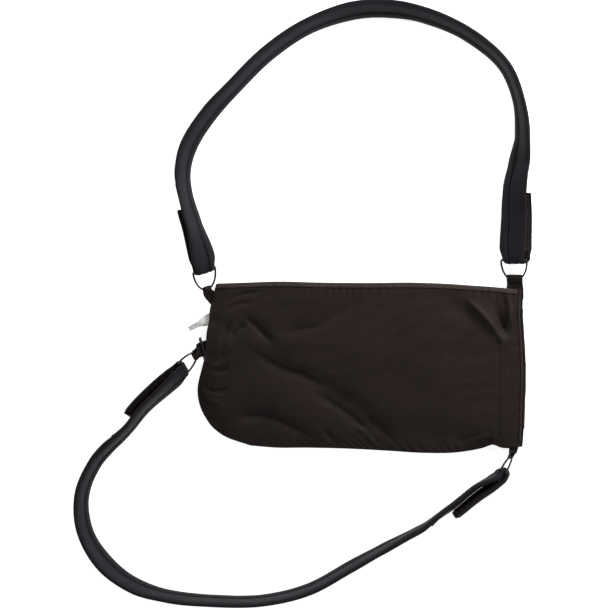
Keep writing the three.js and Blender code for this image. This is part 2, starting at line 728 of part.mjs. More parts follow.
// Fastening tape on the inner face of the run or of the flap, between two of its stations.
function patchGeometry(spine, outward, layer, first, last) {
  const box = [[-0.42, -0.5], [0, -0.5], [0.42, -0.5], [0.42, 0.5], [0, 0.5], [-0.42, 0.5]];
  const stations = ringSideStations(spine, outward, layer, last).slice(first);
  for (const at of stations) {
    const inward = at.thickness / 2 + CLEARANCE + PATCH_THICKNESS / 2;
    at.centre.addScaledVector(at.n, -inward);
    at.thickness = PATCH_THICKNESS;
  }
  return turnedInsideOut(sweep(box, layer * outward > 0 ? stations.reverse() : stations));
}

function addStrap(name, startName, finishName, rise, route) {
  const spine = strapSpine(ENDS[startName], ENDS[finishName], rise, route);
  add(name, strapGeometry(spine), "strap");
  const loopLast = FLAP_STEPS + 3;
  const hookFirst = FLAP_STEPS / 2;
  const hookLast = FLAP_STEPS - 1;
  add("loop_patch_" + startName, patchGeometry(spine, 1, 1, 2, loopLast), "loop");
  add("hook_patch_" + startName, patchGeometry(spine, 1, -1, hookFirst, hookLast), "hook");
  add("loop_patch_" + finishName, patchGeometry(spine, -1, 1, 2, loopLast), "loop");
  add("hook_patch_" + finishName, patchGeometry(spine, -1, -1, hookFirst, hookLast), "hook");
}

function addStraps() {
  addStrap("shoulder_strap", "top_left", "top_right", SHOULDER_RISE, SHOULDER_ROUTE);
  addStrap("waist_strap", "bottom_right", "side", WAIST_DROP, WAIST_ROUTE);
}

// Slide standing on the side tab, its lower slot round the webbing.
function addSlide() {
  const end = ENDS.side;
  const tab = tabCurve(end);
  const at = tabAt(end, tab, tab.flat + 0.4);
  const steep = rad(94);
  const rise = at.t.clone().multiplyScalar(Math.cos(steep)).addScaledVector(at.n, Math.sin(steep));
  const face = new THREE.Vector3().crossVectors(at.w, rise);
  const rectangle = (Kind, x, y, halfWidth, halfHeight) => {
    const path = new Kind();
    path.moveTo(x - halfWidth, y - halfHeight);
    path.lineTo(x + halfWidth, y - halfHeight);
    path.lineTo(x + halfWidth, y + halfHeight);
    path.lineTo(x - halfWidth, y + halfHeight);
    path.closePath();
    return path;
  };
  const slot = (SLIDE_HEIGHT - 3 * SLIDE_BAR) / 2;
  const slotMiddle = (slot + SLIDE_BAR) / 2;
  const shape = rectangle(THREE.Shape, 0, 0, SLIDE_WIDTH / 2, SLIDE_HEIGHT / 2);
  for (const y of [-slotMiddle, slotMiddle]) {
    shape.holes.push(rectangle(THREE.Path, 0, y, SLIDE_WIDTH / 2 - 2, slot / 2));
  }
  const settings = { depth: SLIDE_THICKNESS, bevelEnabled: false };
  const geometry = new THREE.ExtrudeGeometry(shape, settings);
  geometry.translate(0, slotMiddle, -SLIDE_THICKNESS / 2);
  const place = new THREE.Matrix4().makeBasis(at.w, rise, face).setPosition(at.point);
  add("side_slide", geometry.applyMatrix4(place), "plastic");
}

// Blank ribbon sewn in at the left edge, turning up onto its long edge.
function addLabel() {
  const base = labelBase();
  const heading = rad(207.5);
  const out = new THREE.Vector3(Math.cos(heading), Math.sin(heading), 0);
  const inside = 4;
  const stations = [];
  const count = 20;
  for (let i = 0; i <= count; i += 1) {
    const away = THREE.MathUtils.lerp(-inside, LABEL_LENGTH, i / count);
    const lean = 62 * smooth(away, 7, 20);
    const sewn = seamLift(base) + CLOTH_THICKNESS + CLEARANCE + LABEL_THICKNESS / 2;
    const standing = (LABEL_WIDTH / 2) * Math.sin(rad(lean)) + LABEL_THICKNESS;
    const height = Math.hypot(Math.max(sewn * (1 - smooth(away, 8, 20)), 0), standing);
    const { w, n } = axesFor(out, -lean);
    const centre = new THREE.Vector3(base.x, base.y, Math.max(sewn, height)).addScaledVector(out, away);
    stations.push({ centre, w, n, width: LABEL_WIDTH, thickness: LABEL_THICKNESS });
  }
  const lower = [-0.5, -0.25, 0, 0.25, 0.5].map((x) => [x, -0.5]);
  const upper = [0.5, 0.25, 0, -0.25, -0.5].map((x) => [x, 0.5]);
  add("side_label", sweep([...lower, ...upper], stations), "ribbon");
}

// Puts the middle of the footprint at the origin and the lowest point at zero.
function settle() {
  const bounds = new THREE.Box3().setFromObject(group);
  const middle = bounds.getCenter(new THREE.Vector3());
  for (const mesh of group.children) {
    mesh.geometry.translate(-middle.x, -middle.y, -bounds.min.z);
  }
}

addPanels();
addBindings();
addEnds();
addStraps();
addSlide();
addLabel();
settle();

export default group;
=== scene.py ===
"""Shoulder brace: a forearm pouch on two padded straps, laid flat and seen from above.

Shapes are worked out in millimetres of the pouch: x runs from its elbow to its hand end, y up
from the line of its mouth, z up from the floor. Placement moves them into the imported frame.
"""

import logging
from dataclasses import dataclass, field
from enum import Enum

import bpy
import numpy as np
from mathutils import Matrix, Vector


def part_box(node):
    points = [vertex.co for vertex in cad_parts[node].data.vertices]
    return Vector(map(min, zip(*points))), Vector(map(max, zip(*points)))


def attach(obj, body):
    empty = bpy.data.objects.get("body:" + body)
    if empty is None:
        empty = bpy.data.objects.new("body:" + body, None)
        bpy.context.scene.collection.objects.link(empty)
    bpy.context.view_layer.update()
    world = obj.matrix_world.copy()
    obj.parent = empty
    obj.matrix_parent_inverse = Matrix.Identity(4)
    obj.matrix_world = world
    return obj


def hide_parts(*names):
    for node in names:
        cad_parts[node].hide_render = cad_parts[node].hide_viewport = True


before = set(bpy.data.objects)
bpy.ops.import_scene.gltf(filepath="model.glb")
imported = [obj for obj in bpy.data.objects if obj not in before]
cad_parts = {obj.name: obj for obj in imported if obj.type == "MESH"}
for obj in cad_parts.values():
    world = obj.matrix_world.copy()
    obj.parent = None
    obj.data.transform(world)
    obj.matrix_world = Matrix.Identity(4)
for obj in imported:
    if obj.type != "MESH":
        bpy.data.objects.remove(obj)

Array = np.ndarray
Socket = bpy.types.NodeSocket
Colour = tuple[float, float, float]
LOG = logging.getLogger("shoulder_brace")
MM = 0.001
PHOTO_SPAN = 741.8  # mm of the floor that the picture's width shows
CLEARANCE = 0.3  # mm between pieces that touch
FLOOR_GAP = 0.02  # mm from the floor to the lowest points
SEAM_LIFT = 1.8  # mm that the straps' pull lifts the pouch's seams beside the tabs
CLOTH = 1.2  # mm of a layer of the pouch
GROOVE = -0.17  # place across a strap of its groove
WELT = -0.112  # and of the welt beside it
UV_NAME = "cloth_uv"  # the pieces' map of distances


# Arithmetic on whole arrays


def smooth(x: Array, low: float, high: float) -> Array:
    """Eased step from 0 at low to 1 at high: 3t^2 - 2t^3 of the clipped share t."""
    t = np.clip((np.asarray(x, float) - low) / (high - low), 0, 1)
    return t * t * (3 - 2 * t)


def mix(a: Array, b: Array, t: Array) -> Array:
    """Straight mixture of a and b: a + (b - a) t."""
    return a + (b - a) * t


def unit(v: Array) -> Array:
    """Vectors divided by their lengths."""
    return v / np.linalg.norm(v, axis=-1, keepdims=True)


def bump(x: Array, width: float) -> Array:
    """Bell curve exp(-(x / width)^2)."""
    return np.exp(-np.square(np.asarray(x, float) / width))


def direction(heading: float) -> Array:
    """Level direction of a heading in degrees."""
    angle = np.radians(heading)
    return np.array([np.cos(angle), np.sin(angle), 0])


def distances(points: Array) -> Array:
    """Distance of each point from the first, along the line."""
    return np.r_[0, np.cumsum(np.linalg.norm(np.diff(points, axis=0), axis=1))]


def read_rows(x: Array, at: Array, rows: Array) -> Array:
    """Rows read at x, straight between their places."""
    return np.stack([np.interp(x, at, rows[:, k]) for k in range(rows.shape[1])], 1)


def raised(flat: Array, height: Array) -> Array:
    """Places x, y with their heights as z."""
    return np.concatenate([flat, height[..., None]], -1)


def around(go: Array, back: Array) -> Array:
    """A section's values: those of its lower face, then those of its upper face in reverse."""
    return np.concatenate([go, back[..., ::-1]], -1)


def placed(origin: Array, axes: tuple[Array, ...], *places: Array) -> Array:
    """Points origin + the sum of each axis times the place along it."""
    return origin + sum(axis * place[..., None] for axis, place in zip(axes, places))


def outward(path: Array) -> Array:
    """Directions out of a closed line in its plane."""
    way = unit(np.roll(path, -1, 0) - np.roll(path, 1, 0))
    return np.c_[way[:, 1], -way[:, 0]]


def through(x: Array, at: Array, values: Array) -> Array:
    """Cubic through the rows of a table, with the mean slope of its neighbours at each row.

    Args:
        x: Where to read the table.
        at: The rows' places, rising.
        values: The rows' values.

    Returns:
        The Hermite cubic's value at each x, level beyond the table's ends.
    """
    at, values = np.asarray(at, float), np.asarray(values, float)
    slope = np.gradient(values, at)
    i = np.clip(np.searchsorted(at, x) - 1, 0, len(at) - 2)
    step = at[i + 1] - at[i]
    t = np.clip((x - at[i]) / step, 0, 1)
    bend = (1 - t) * slope[i] - t * slope[i + 1]
    return mix(values[i], values[i + 1], (3 - 2 * t) * t * t) + t * (1 - t) * bend * step


def even_steps(points: Array, count: int, closed: bool = False) -> Array:
    """Points spaced evenly along a line of points.

    Args:
        points: The line, one point a row.
        count: How many points to return.
        closed: Whether the last point joins the first, which is then left out.

    Returns:
        count points at equal distances along the line.
    """
    line = np.vstack([points, points[:1]]) if closed else points
    away = distances(line)
    return read_rows(np.linspace(0, away[-1], count, endpoint=not closed), away, line)


def band_axes(tangent: Array, lean: Array) -> tuple[Array, Array, Array]:
    """Axes of a band that leans about its tangent.

    The level direction is the tangent turned left; the width direction is level times cos(lean)
    plus up times sin(lean); the face is tangent x width.

    Args:
        tangent: Directions of travel, one a row.
        lean: Leans in degrees.

    Returns:
        Unit tangents, widths and faces.
    """
    t = unit(tangent)
    level = unit(np.stack([-t[:, 1], t[:, 0], np.zeros(len(t))], 1))
    up = np.cross(t, level)
    angle = np.radians(np.broadcast_to(lean, (len(t),)))[:, None]
    w = level * np.cos(angle) + up * np.sin(angle)
    return t, w, np.cross(t, w)


@dataclass
class Placement:
    """Where the pouch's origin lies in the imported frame, in millimetres."""

    origin: Array = field(default_factory=lambda: np.zeros(3))

    def find(self, outline: "Outline") -> None:
        """Reads the back layer's box: its least x, its greatest y and its least z fix the origin."""
        low, high = (np.array(corner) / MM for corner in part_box("back_panel"))
        columns = np.linspace(0, 1, 17)
        top = outline.point(columns, np.zeros(17), plain=True)[..., 1].max()
        self.origin = np.array([low[0], high[1] - top, low[2]])


PLACE = Placement()


# Meshes


def add_object(name: str, data: bpy.types.ID) -> bpy.types.Object:
    """Makes an object of its data and links it to the scene."""
    made = bpy.data.objects.new(name, data)
    bpy.context.scene.collection.objects.link(made)
    return made


def cells(grid: Array) -> Array:
    """The four corners of each cell of a grid, one cell a row."""
    corners = [grid[:-1, :-1], grid[:-1, 1:], grid[1:, 1:], grid[1:, :-1]]
    return np.stack(corners, 2).reshape((-1, 4) + grid.shape[2:])


@dataclass
class MeshMaker:
    """Gathers bands of quads, and makes one object of them."""

    name: str
    points: list[Array] = field(default_factory=list)
    quads: list[Array] = field(default_factory=list)
    uvs: list[Array] = field(default_factory=list)
    count: int = 0

    def band(self, points: Array, uv: Array | None = None, looped: bool = False) -> "MeshMaker":
        """Adds a closed band: section rings carried along stations.

        The section's point j faces its point M - 1 - j, so quads between the pairs cap both ends.
        The faces are turned round where the volume, a sum of triple products, comes out negative.

        Args:
            points: Stations x section points x 3, in pouch millimetres.
            uv: Stations x (section points + 1) x 2, in metres; distances along both ways if None.
            looped: Whether the last station joins the first, with no caps.

        Returns:
            The maker itself.
        """
        rows, columns = points.shape[:2]
        uv = self.measured(points, looped) if uv is None else uv
        index = np.arange(rows * columns).reshape(rows, columns)
        index = np.vstack([index, index[:1]]) if looped else index
        quads, corners = cells(np.hstack([index, index[:, :1]])), cells(uv)
        if not looped:
            j = np.arange(columns // 2 - 1)
            for row, turn in ((0, 1), (rows - 1, -1)):
                cap = np.stack([j, columns - 1 - j, columns - 2 - j, j + 1], 1)[:, ::turn]
                quads = np.vstack([quads, cap + row * columns])
                corners = np.vstack([corners, uv[row][cap]])
        flat = points.reshape(-1, 3)
        a, b, c, d = (flat[quads[:, k]] for k in range(4))
        if np.einsum("ij,ij->", a, np.cross(b, c)) + np.einsum("ij,ij->", a, np.cross(c, d)) < 0:
            quads, corners = quads[:, ::-1], corners[:, ::-1]
        self.add(flat, quads, corners.reshape(-1, 2))
        return self

    def add(self, points: Array, quads: Array, uvs: Array) -> None:
        """Takes points, quads that count from their first point, and the quads' uv."""
        self.points.append(points)
        self.quads.append(quads + self.count)
        self.uvs.append(uvs)
        self.count += len(points)

    @staticmethod
    def measured(points: Array, looped: bool) -> Array:
        """Distances round the section and along the stations, in metres, for a band's uv."""
        points = np.concatenate([points, points[:1]]) if looped else points
        round_it = np.concatenate([points, points[:, :1]], 1)
        u = np.cumsum(np.linalg.norm(np.diff(round_it, axis=1, prepend=round_it[:, :1]), axis=2), 1)
        v = np.broadcast_to(distances(points.mean(1))[:, None], u.shape)
        return np.stack([u, v], 2) * MM

    def copies(self, shape: Array, at: Array, axes: tuple[Array, Array, Array]) -> None:
        """Adds many copies of one small closed band.

        Args:
            shape: The band, stations x section points x 3.
            at: Where each copy goes.
            axes: The x, y and z directions of each copy.
        """
        one = MeshMaker("one").band(shape)
        flat, quads = one.points[0], one.quads[0]
        points = placed(at[:, None], tuple(axis[:, None] for axis in axes), *flat.T[:, None])
        shifts = np.arange(len(at))[:, None, None] * len(flat)
        uvs = np.tile(one.uvs[0], (len(at), 1))
        self.add(points.reshape(-1, 3), (quads[None] + shifts).reshape(-1, 4), uvs)

    def build(self, finish: "Finish", replaced: tuple[str, ...] = ()) -> bpy.types.Object:
        """Makes the object, shaded smooth, dressed, riding on the body and standing for its nodes."""
        points = np.vstack(self.points) + PLACE.origin
        points[:, 2] = np.maximum(points[:, 2], FLOOR_GAP)
        quads = np.vstack(self.quads)
        mesh = bpy.data.meshes.new(self.name)
        mesh.vertices.add(len(points))
        mesh.vertices.foreach_set("co", (points * MM).astype(np.float32).ravel())
        mesh.loops.add(quads.size)
        mesh.loops.foreach_set("vertex_index", quads.astype(np.int32).ravel())
        mesh.polygons.add(len(quads))
        mesh.polygons.foreach_set("loop_start", np.arange(0, quads.size, 4, dtype=np.int32))
        layer = mesh.uv_layers.new(name=UV_NAME)
        layer.data.foreach_set("uv", np.vstack(self.uvs).astype(np.float32).ravel())
        mesh.update(calc_edges=True)
        mesh.validate()
        mesh.polygons.foreach_set("use_smooth", np.ones(len(mesh.polygons), bool))
        mesh.materials.append(finish.material())
        piece = add_object(self.name, mesh)
        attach(piece, "root")
        if replaced:
            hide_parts(*replaced)
        LOG.info("%s: %d quads", self.name, len(quads))
        return piece


@dataclass(frozen=True)
class Seam:
    """A row of thread stitches, in millimetres."""

    pitch: float  # from one stitch to the next
    radius: float  # of the thread
    share: float = 0.78  # of the pitch that a stitch takes
    least: float = 0.15  # share of the radius that is left at a stitch's ends

    def stitch(self) -> Array:
        """One stitch: a circle of six points carried along x, sinking into the cloth at both ends."""
        along = np.linspace(-1, 1, 5)
        turn = np.linspace(0, 2 * np.pi, 6, endpoint=False) + np.pi / 6
        swell = mix(np.sqrt(np.clip(1 - np.abs(along) ** 3, 0, 1)), 1, self.least)[:, None]
        x = np.broadcast_to((along * self.pitch * self.share / 2)[:, None], (5, 6))
        y, z = swell * np.cos(turn), swell * np.sin(turn) - 1 + swell
        return np.stack([x, y * self.radius, z * self.radius], 2)


POUCH_SEAM = Seam(2.9, 0.26)
TAB_SEAM = Seam(2.2, 0.24)
# Thick stitches on the welt's crest, in light thread that paints the welt's highlight.
WELT_HIGHLIGHT_SEAM = Seam(3.2, 0.45)
END_SEAM = Seam(3.0, 0.28)


def add_stitches(maker: MeshMaker, line: Array, face: Array, seam: Seam) -> None:
    """Lays thread stitches end to end along a line.

    Args:
        maker: The mesh that takes them.
        line: Points along the row of stitches.
        face: The surface's direction at those points.
        seam: The stitches' sizes.
    """
    away = distances(line)
    count = max(int(away[-1] / seam.pitch), 1)
    wanted = (np.arange(count) + 0.5) * away[-1] / count
    ahead, behind = (read_rows(wanted + step, away, line) for step in (0.4, -0.4))
    x, z = unit(ahead - behind), unit(read_rows(wanted, away, face))
    y = unit(np.cross(z, x))
    maker.copies(seam.stitch(), read_rows(wanted, away, line), (x, y, np.cross(x, y)))


# Finishes


class Pattern(Enum):
    """What a cloth's surface shows close to."""

    PLAIN_WEAVE = "plain weave"
    RIB = "rib"
    JERSEY = "jersey"
    HOOKS = "hooks"
    PILE = "pile"


WEAVES = {  # how far the waves wander, their period along over that across, and how they meet
    Pattern.PLAIN_WEAVE: (0.6, 1.0, "MAXIMUM"),
    Pattern.RIB: (0.2, 2.6, "MULTIPLY"),
    Pattern.JERSEY: (2.2, 1.4, "ADD"),
}


class ShaderTree:
    """A material's nodes, with the Principled shader at hand."""

    def __init__(self, name: str) -> None:
        """Makes the material with its default nodes."""
        self.material = bpy.data.materials.new(name)
        self.material.use_nodes = True
        self.tree = self.material.node_tree
        self.shader = self.tree.nodes["Principled BSDF"]

    def node(self, kind: str, settings: dict | None = None, **inputs: object) -> bpy.types.Node:
        """Adds a node. Settings are its properties; an input is a value or another node's output."""
        made = self.tree.nodes.new(kind)
        for key, value in (settings or {}).items():
            setattr(made, key, value)
        self.fill(made, **inputs)
        return made

    def fill(self, node: bpy.types.Node, **inputs: object) -> None:
        """Fills a node's inputs by name, with an underscore for each space."""
        for key, value in inputs.items():
            self.put(node.inputs[key.replace("_", " ")], value)

    def put(self, socket: Socket, value: object) -> None:
        """Links an output to a socket, or sets the socket's value."""
        if isinstance(value, bpy.types.NodeSocket):
            self.tree.links.new(value, socket)
        else:
            socket.default_value = value

    def math(self, operation: str, *values: object) -> Socket:
        """Output of a Math node on numbers or outputs."""
        made = self.node("ShaderNodeMath", {"operation": operation})
        for socket, value in zip(made.inputs, values):
            self.put(socket, value)
        return made.outputs[0]

    def scaled(self, value: object, factor: float, plus: object = 0.0) -> Socket:
        """The value times a factor, plus another value."""
        return self.math("MULTIPLY_ADD", value, factor, plus)

    def ramp(self, value: object, colours: tuple[Colour, Colour], low: float, high: float) -> Socket:
        """Colour between the first at low and the second at high."""
        made = self.node("ShaderNodeValToRGB", Fac=value)
        for element, place, colour in zip(made.color_ramp.elements, (low, high), colours):
            element.position = place
            element.color = (*colour, 1)
        return made.outputs["Color"]

    def uv(self) -> Socket:
        """The piece's own map of distances, in metres."""
        return self.node("ShaderNodeUVMap", {"uv_map": UV_NAME}).outputs["UV"]

    def noise(self, scale: float, detail: float, rough: float = 0.55, vector: object = None) -> Socket:
        """Factor of a noise texture, on object coordinates if no vector is given."""
        vector = vector or self.node("ShaderNodeTexCoord").outputs["Object"]
        made = self.node("ShaderNodeTexNoise", Vector=vector, Scale=scale, Detail=detail, Roughness=rough)
        return made.outputs["Factor" if "Factor" in made.outputs else "Fac"]

    def wave(self, period: float, axis: str, distortion: float) -> Socket:
        """Bands across one axis that repeat every period metres: the node's own period is 2 pi / 20."""
        made = self.node(
            "ShaderNodeTexWave",
            {"wave_type": "BANDS", "bands_direction": axis, "wave_profile": "SIN"},
            Vector=self.uv(),
            Scale=2 * np.pi / 20 / period,
            Distortion=distortion,
            Detail=1.0,
            Detail_Scale=1.5,
        )
        return made.outputs["Fac"]

    def dress(self, height: object, depth: float, **inputs: object) -> bpy.types.Material:
        """Fills the shader and bumps its normal by a height, its whole range depth mm high."""
        bumps = self.node("ShaderNodeBump", Height=height, Distance=depth * MM, Strength=1.0)
        self.fill(self.shader, Normal=bumps.outputs["Normal"], **inputs)
        return self.material


@dataclass(frozen=True)
class Finish:
    """A surface: its slot, its darkest and lightest colour (linear) and its least roughness."""

    name: str
    slot: str
    colours: tuple[Colour, Colour]
    roughness: float

    def material(self) -> bpy.types.Material:
        """The finish's material, made once."""
        return bpy.data.materials.get(self.name) or self.make(ShaderTree(self.name))

    def make(self, tree: ShaderTree) -> bpy.types.Material:
        """Makes the material's nodes."""
        raise NotImplementedError


@dataclass(frozen=True)
class Cloth(Finish):
    """Woven or knitted cloth: threads in relief, a mottled shade and a sheen at grazing light."""

    pattern: Pattern = Pattern.PLAIN_WEAVE
    pitch: float = 0.6  # mm between threads
    depth: float = 0.06  # mm of relief
    sheen: float = 0.2
    sheen_tint: Colour = (0.5, 0.45, 0.42)
    gloss: float = 0.08
    mottle: float = 30.0  # blotches to a metre
    grain: float = 430.0  # slubs to a metre

    def threads(self, tree: ShaderTree) -> Socket:
        """Height of the threads, from 0 to 1.

        A plain weave is the greater of two crossed sine waves, a rib is their product and a
        jersey their sum; hooks are cells and pile is noise.
        """
        period = self.pitch * MM
        if self.pattern in WEAVES:
            wander, ratio, meeting = WEAVES[self.pattern]
            waves = (tree.wave(period * size, axis, wander) for size, axis in ((1, "X"), (ratio, "Y")))
            return tree.math(meeting, *waves)
        if self.pattern is Pattern.HOOKS:
            hooks = tree.node("ShaderNodeTexVoronoi", Vector=tree.uv(), Scale=1 / period, Randomness=0.25)
            return tree.math("SUBTRACT", 1.0, hooks.outputs["Distance"])
        return tree.noise(1 / period, 4.0, 0.75, tree.uv())

    def make(self, tree: ShaderTree) -> bpy.types.Material:
        """Shade from blotches, slubs and threads, roughness from blotches, relief from the threads."""
        threads = self.threads(tree)
        blotches, slubs = tree.noise(self.mottle, 4.0), tree.noise(self.grain, 2.0, 0.7)
        shade = tree.scaled(threads, 0.3, tree.scaled(slubs, 0.45, tree.scaled(blotches, 0.25)))
        return tree.dress(
            threads,
            self.depth,
            Base_Color=tree.ramp(shade, self.colours, 0.34, 0.66),
            Roughness=tree.scaled(blotches, 0.22, self.roughness),
            Sheen_Weight=self.sheen,
            Sheen_Roughness=0.5,
            Sheen_Tint=(*self.sheen_tint, 1),
            Specular_IOR_Level=self.gloss,
        )


@dataclass(frozen=True)
class Hard(Finish):
    """Plated wire or moulded plastic: a fine noise for its scuffs, a broad one for its shade."""

    fine: tuple[float, float, float] = (900.0, 2.0, 0.55)  # scale, detail and roughness of the noise
    broad: float = 60.0
    spread: float = 0.12  # of the roughness
    metallic: float = 0.0
    gloss: float = 0.5

    def make(self, tree: ShaderTree) -> bpy.types.Material:
        """Shade from the broad noise, roughness and relief from the fine one."""
        scuffs = tree.noise(*self.fine)
        return tree.dress(
            scuffs,
            0.02,
            Base_Color=tree.ramp(tree.noise(self.broad, 2.0), self.colours, 0.3, 0.7),
            Roughness=tree.scaled(scuffs, self.spread, self.roughness),
            Metallic=self.metallic,
            Specular_IOR_Level=self.gloss,
        )


@dataclass(frozen=True)
class Satin(Finish):
    """Thin satin ribbon: fine ribs along it, and a little light through it."""

    def make(self, tree: ShaderTree) -> bpy.types.Material:
        """Shade and relief from ribs across the ribbon's width, roughness from noise."""
        ribs, cloud = tree.wave(0.45 * MM, "X", 0.3), tree.noise(180.0, 3.0)
        return tree.dress(
            ribs,
            0.03,
            Base_Color=tree.ramp(tree.scaled(cloud, 0.7, tree.scaled(ribs, 0.3)), self.colours, 0.25, 0.75),
            Roughness=tree.scaled(cloud, 0.2, self.roughness),
            Sheen_Weight=0.3,
            Transmission_Weight=0.06,
        )


POUCH_CLOTH = Cloth(
    "pouch_cloth", "cloth", ((0.0074, 0.0047, 0.0045), (0.0196, 0.0131, 0.0118)), 0.51, depth=0.05, sheen=0.06
)
BINDING_TAPE = Cloth(
    "binding_tape", "binding", ((0.028, 0.021, 0.019), (0.06, 0.047, 0.042)), 0.59, Pattern.RIB, 0.8, 0.1
)
EDGE_TAPE = Cloth(
    "edge_tape", "binding", ((0.014, 0.0105, 0.0092), (0.034, 0.026, 0.0225)), 0.59,
    Pattern.RIB, 0.8, 0.1, 0.06,
)  # fmt: skip
STRAP_JERSEY = Cloth(
    "strap_jersey", "strap", ((0.0042, 0.0034, 0.0047), (0.0112, 0.0092, 0.0126)), 0.49,
    Pattern.JERSEY, 0.75, 0.08, 0.03, sheen_tint=(0.42, 0.4, 0.5), gloss=0.1,
)  # fmt: skip
WEBBING = Cloth(
    "webbing_tape", "webbing", ((0.007, 0.005, 0.0042), (0.024, 0.0175, 0.015)), 0.59,
    Pattern.RIB, 1.1, 0.22, 0.03,
)  # fmt: skip
LOOP_TAPE = Cloth(
    "loop_tape", "loop", ((0.02, 0.0155, 0.012), (0.075, 0.058, 0.046)), 0.79, Pattern.PILE, 0.7, 0.5, 0.15
)
HOOK_TAPE = Cloth(
    "hook_tape", "hook", ((0.009, 0.006, 0.0048), (0.03, 0.021, 0.0165)), 0.59, Pattern.HOOKS, 1.2, 0.6, 0.0
)
POUCH_THREAD = Cloth(
    "pouch_thread", "cloth", ((0.014, 0.011, 0.01), (0.03, 0.024, 0.022)), 0.49, Pattern.RIB, 0.4, 0.05
)
# Thread lighter than the strap: real stitching, and along the welt's crest also a painted highlight.
STRAP_THREAD_AND_WELT_HIGHLIGHT = Cloth(
    "strap_thread_painted_highlight", "strap", ((0.016, 0.014, 0.0185), (0.042, 0.038, 0.048)), 0.49, Pattern.RIB, 0.4, 0.05
)
RING_METAL = Hard(
    "ring_metal", "metal", ((0.012, 0.0105, 0.0095), (0.075, 0.066, 0.06)), 0.24,
    fine=(420.0, 5.0, 0.65), broad=90.0, spread=0.3, metallic=1.0,
)  # fmt: skip
SLIDE_PLASTIC = Hard(
    "slide_plastic", "slide", ((0.0045, 0.0042, 0.0042), (0.01, 0.0095, 0.0095)), 0.34, gloss=0.22
)
RIBBON_SATIN = Satin("ribbon_satin", "ribbon", ((0.56, 0.55, 0.53), (0.74, 0.73, 0.71)), 0.32)


# Pouch


@dataclass(frozen=True)
class Outline:
    """Edges of the pouch, as shares of its length and height."""

    length: float = 400.0
    height: float = 207.0
    set_back: float = 0.01  # of the front layer at the hand end, as a share of the length
    down: tuple[float, ...] = (
        0, 0.1, 0.16, 0.22, 0.29, 0.35, 0.39, 0.44, 0.47, 0.52, 0.58, 0.62, 0.7, 0.77, 0.83, 0.895, 0.955, 1,
    )  # fmt: skip
    left: tuple[float, ...] = (
        0.055, 0.043, 0.036, 0.034, 0.027, 0.024, 0.023, 0.021, 0.018,
        0.012, 0.004, 0, 0, 0.009, 0.024, 0.049, 0.095, 0.162,
    )  # fmt: skip
    right: tuple[float, ...] = (
        0.994, 0.992, 0.991, 0.993, 0.995, 0.997, 0.998, 0.999, 1,
        1, 1, 1, 0.998, 0.997, 0.996, 0.995, 0.993, 0.991,
    )  # fmt: skip
    along: tuple[float, ...] = (0, 0.1, 0.2, 0.35, 0.5, 0.65, 0.75, 0.85, 0.9, 0.935, 1)
    top: tuple[float, ...] = (0.006, 0, -0.006, 0, 0.002, 0, 0.006, 0.018, 0.024, 0.03, 0.045)
    bottom: tuple[float, ...] = (0.959, 0.971, 0.971, 0.976, 0.988, 1.002, 1, 0.974, 0.952, 0.971, 0.965)

    def point(self, across: Array, down: Array, set_back: float = 0.0, plain: bool = False) -> Array:
        """Points of the outline's grid.

        x is the mixture of the left and right edges by across, y that of the top and bottom edges
        by down; the edges are cubics through their rows, or straight between them where plain.

        Args:
            across: Shares from elbow to hand end.
            down: Shares from mouth to bottom.
            set_back: How far the right edge is drawn in, as a share of the length.
            plain: Whether to read the tables straight.

        Returns:
            The x and y of each point in millimetres.
        """
        read = np.interp if plain else through
        x = mix(read(down, self.down, self.left), read(down, self.down, self.right) - set_back, across)
        y = mix(read(across, self.along, self.top), read(across, self.along, self.bottom), down)
        return np.stack(np.broadcast_arrays(x * self.length, -y * self.height), -1)

    def at(self, along: float, down: float) -> Array:
        """A place of the pouch given by shares of its length and height."""
        return np.array([along * self.length, -down * self.height])


OUTLINE = Outline()


@dataclass(frozen=True)
class Crease:
    """A fold of the cloth along a line: a valley where height is below zero, else a ridge."""

    line: tuple[tuple[float, float], ...]  # shares of the pouch's length and height
    width: float  # mm from its middle to where it fades
    height: float  # mm
    steep: float = 0.0  # above zero its left bank, seen along the line, is the steeper

    def relief(self, points: Array) -> Array:
        """Height of the fold: a bell across its line, faded over both ends.

        The line is a cubic through its points. Each point of the cloth takes its least distance d
        to the line's short straight pieces, and its height is height exp(-(d / width)^2), with
        the width less on the steep bank, times a fade by where along the line it lies.

        Args:
            points: Places on the cloth, any shape x 2, in millimetres.

        Returns:
            Millimetres to add to the cloth's height.
        """
        knots = np.array([OUTLINE.at(*share) for share in self.line])
        turn = distances(knots)
        fine = np.linspace(0, turn[-1], 6 * len(knots))
        path = np.stack([through(fine, turn, knots[:, k]) for k in range(2)], 1)
        near = np.full(points.shape[:-1], np.inf)
        side, share = np.zeros_like(near), np.zeros_like(near)
        for i, (a, b) in enumerate(zip(path[:-1], path[1:])):
            way, out = b - a, points - a
            t = np.clip(out @ way / (way @ way), 0, 1)
            gap = np.linalg.norm(out - t[..., None] * way, axis=-1)
            closer = gap < near
            near = np.where(closer, gap, near)
            side = np.where(closer, np.sign(way[0] * out[..., 1] - way[1] * out[..., 0]), side)
            share = np.where(closer, (i + t) / (len(path) - 1), share)
        fade = smooth(share, -0.05, 0.3) * (1 - smooth(share, 0.7, 1.05))
        return self.height * bump(near / (self.width * (1 - self.steep * side)), 1) * fade


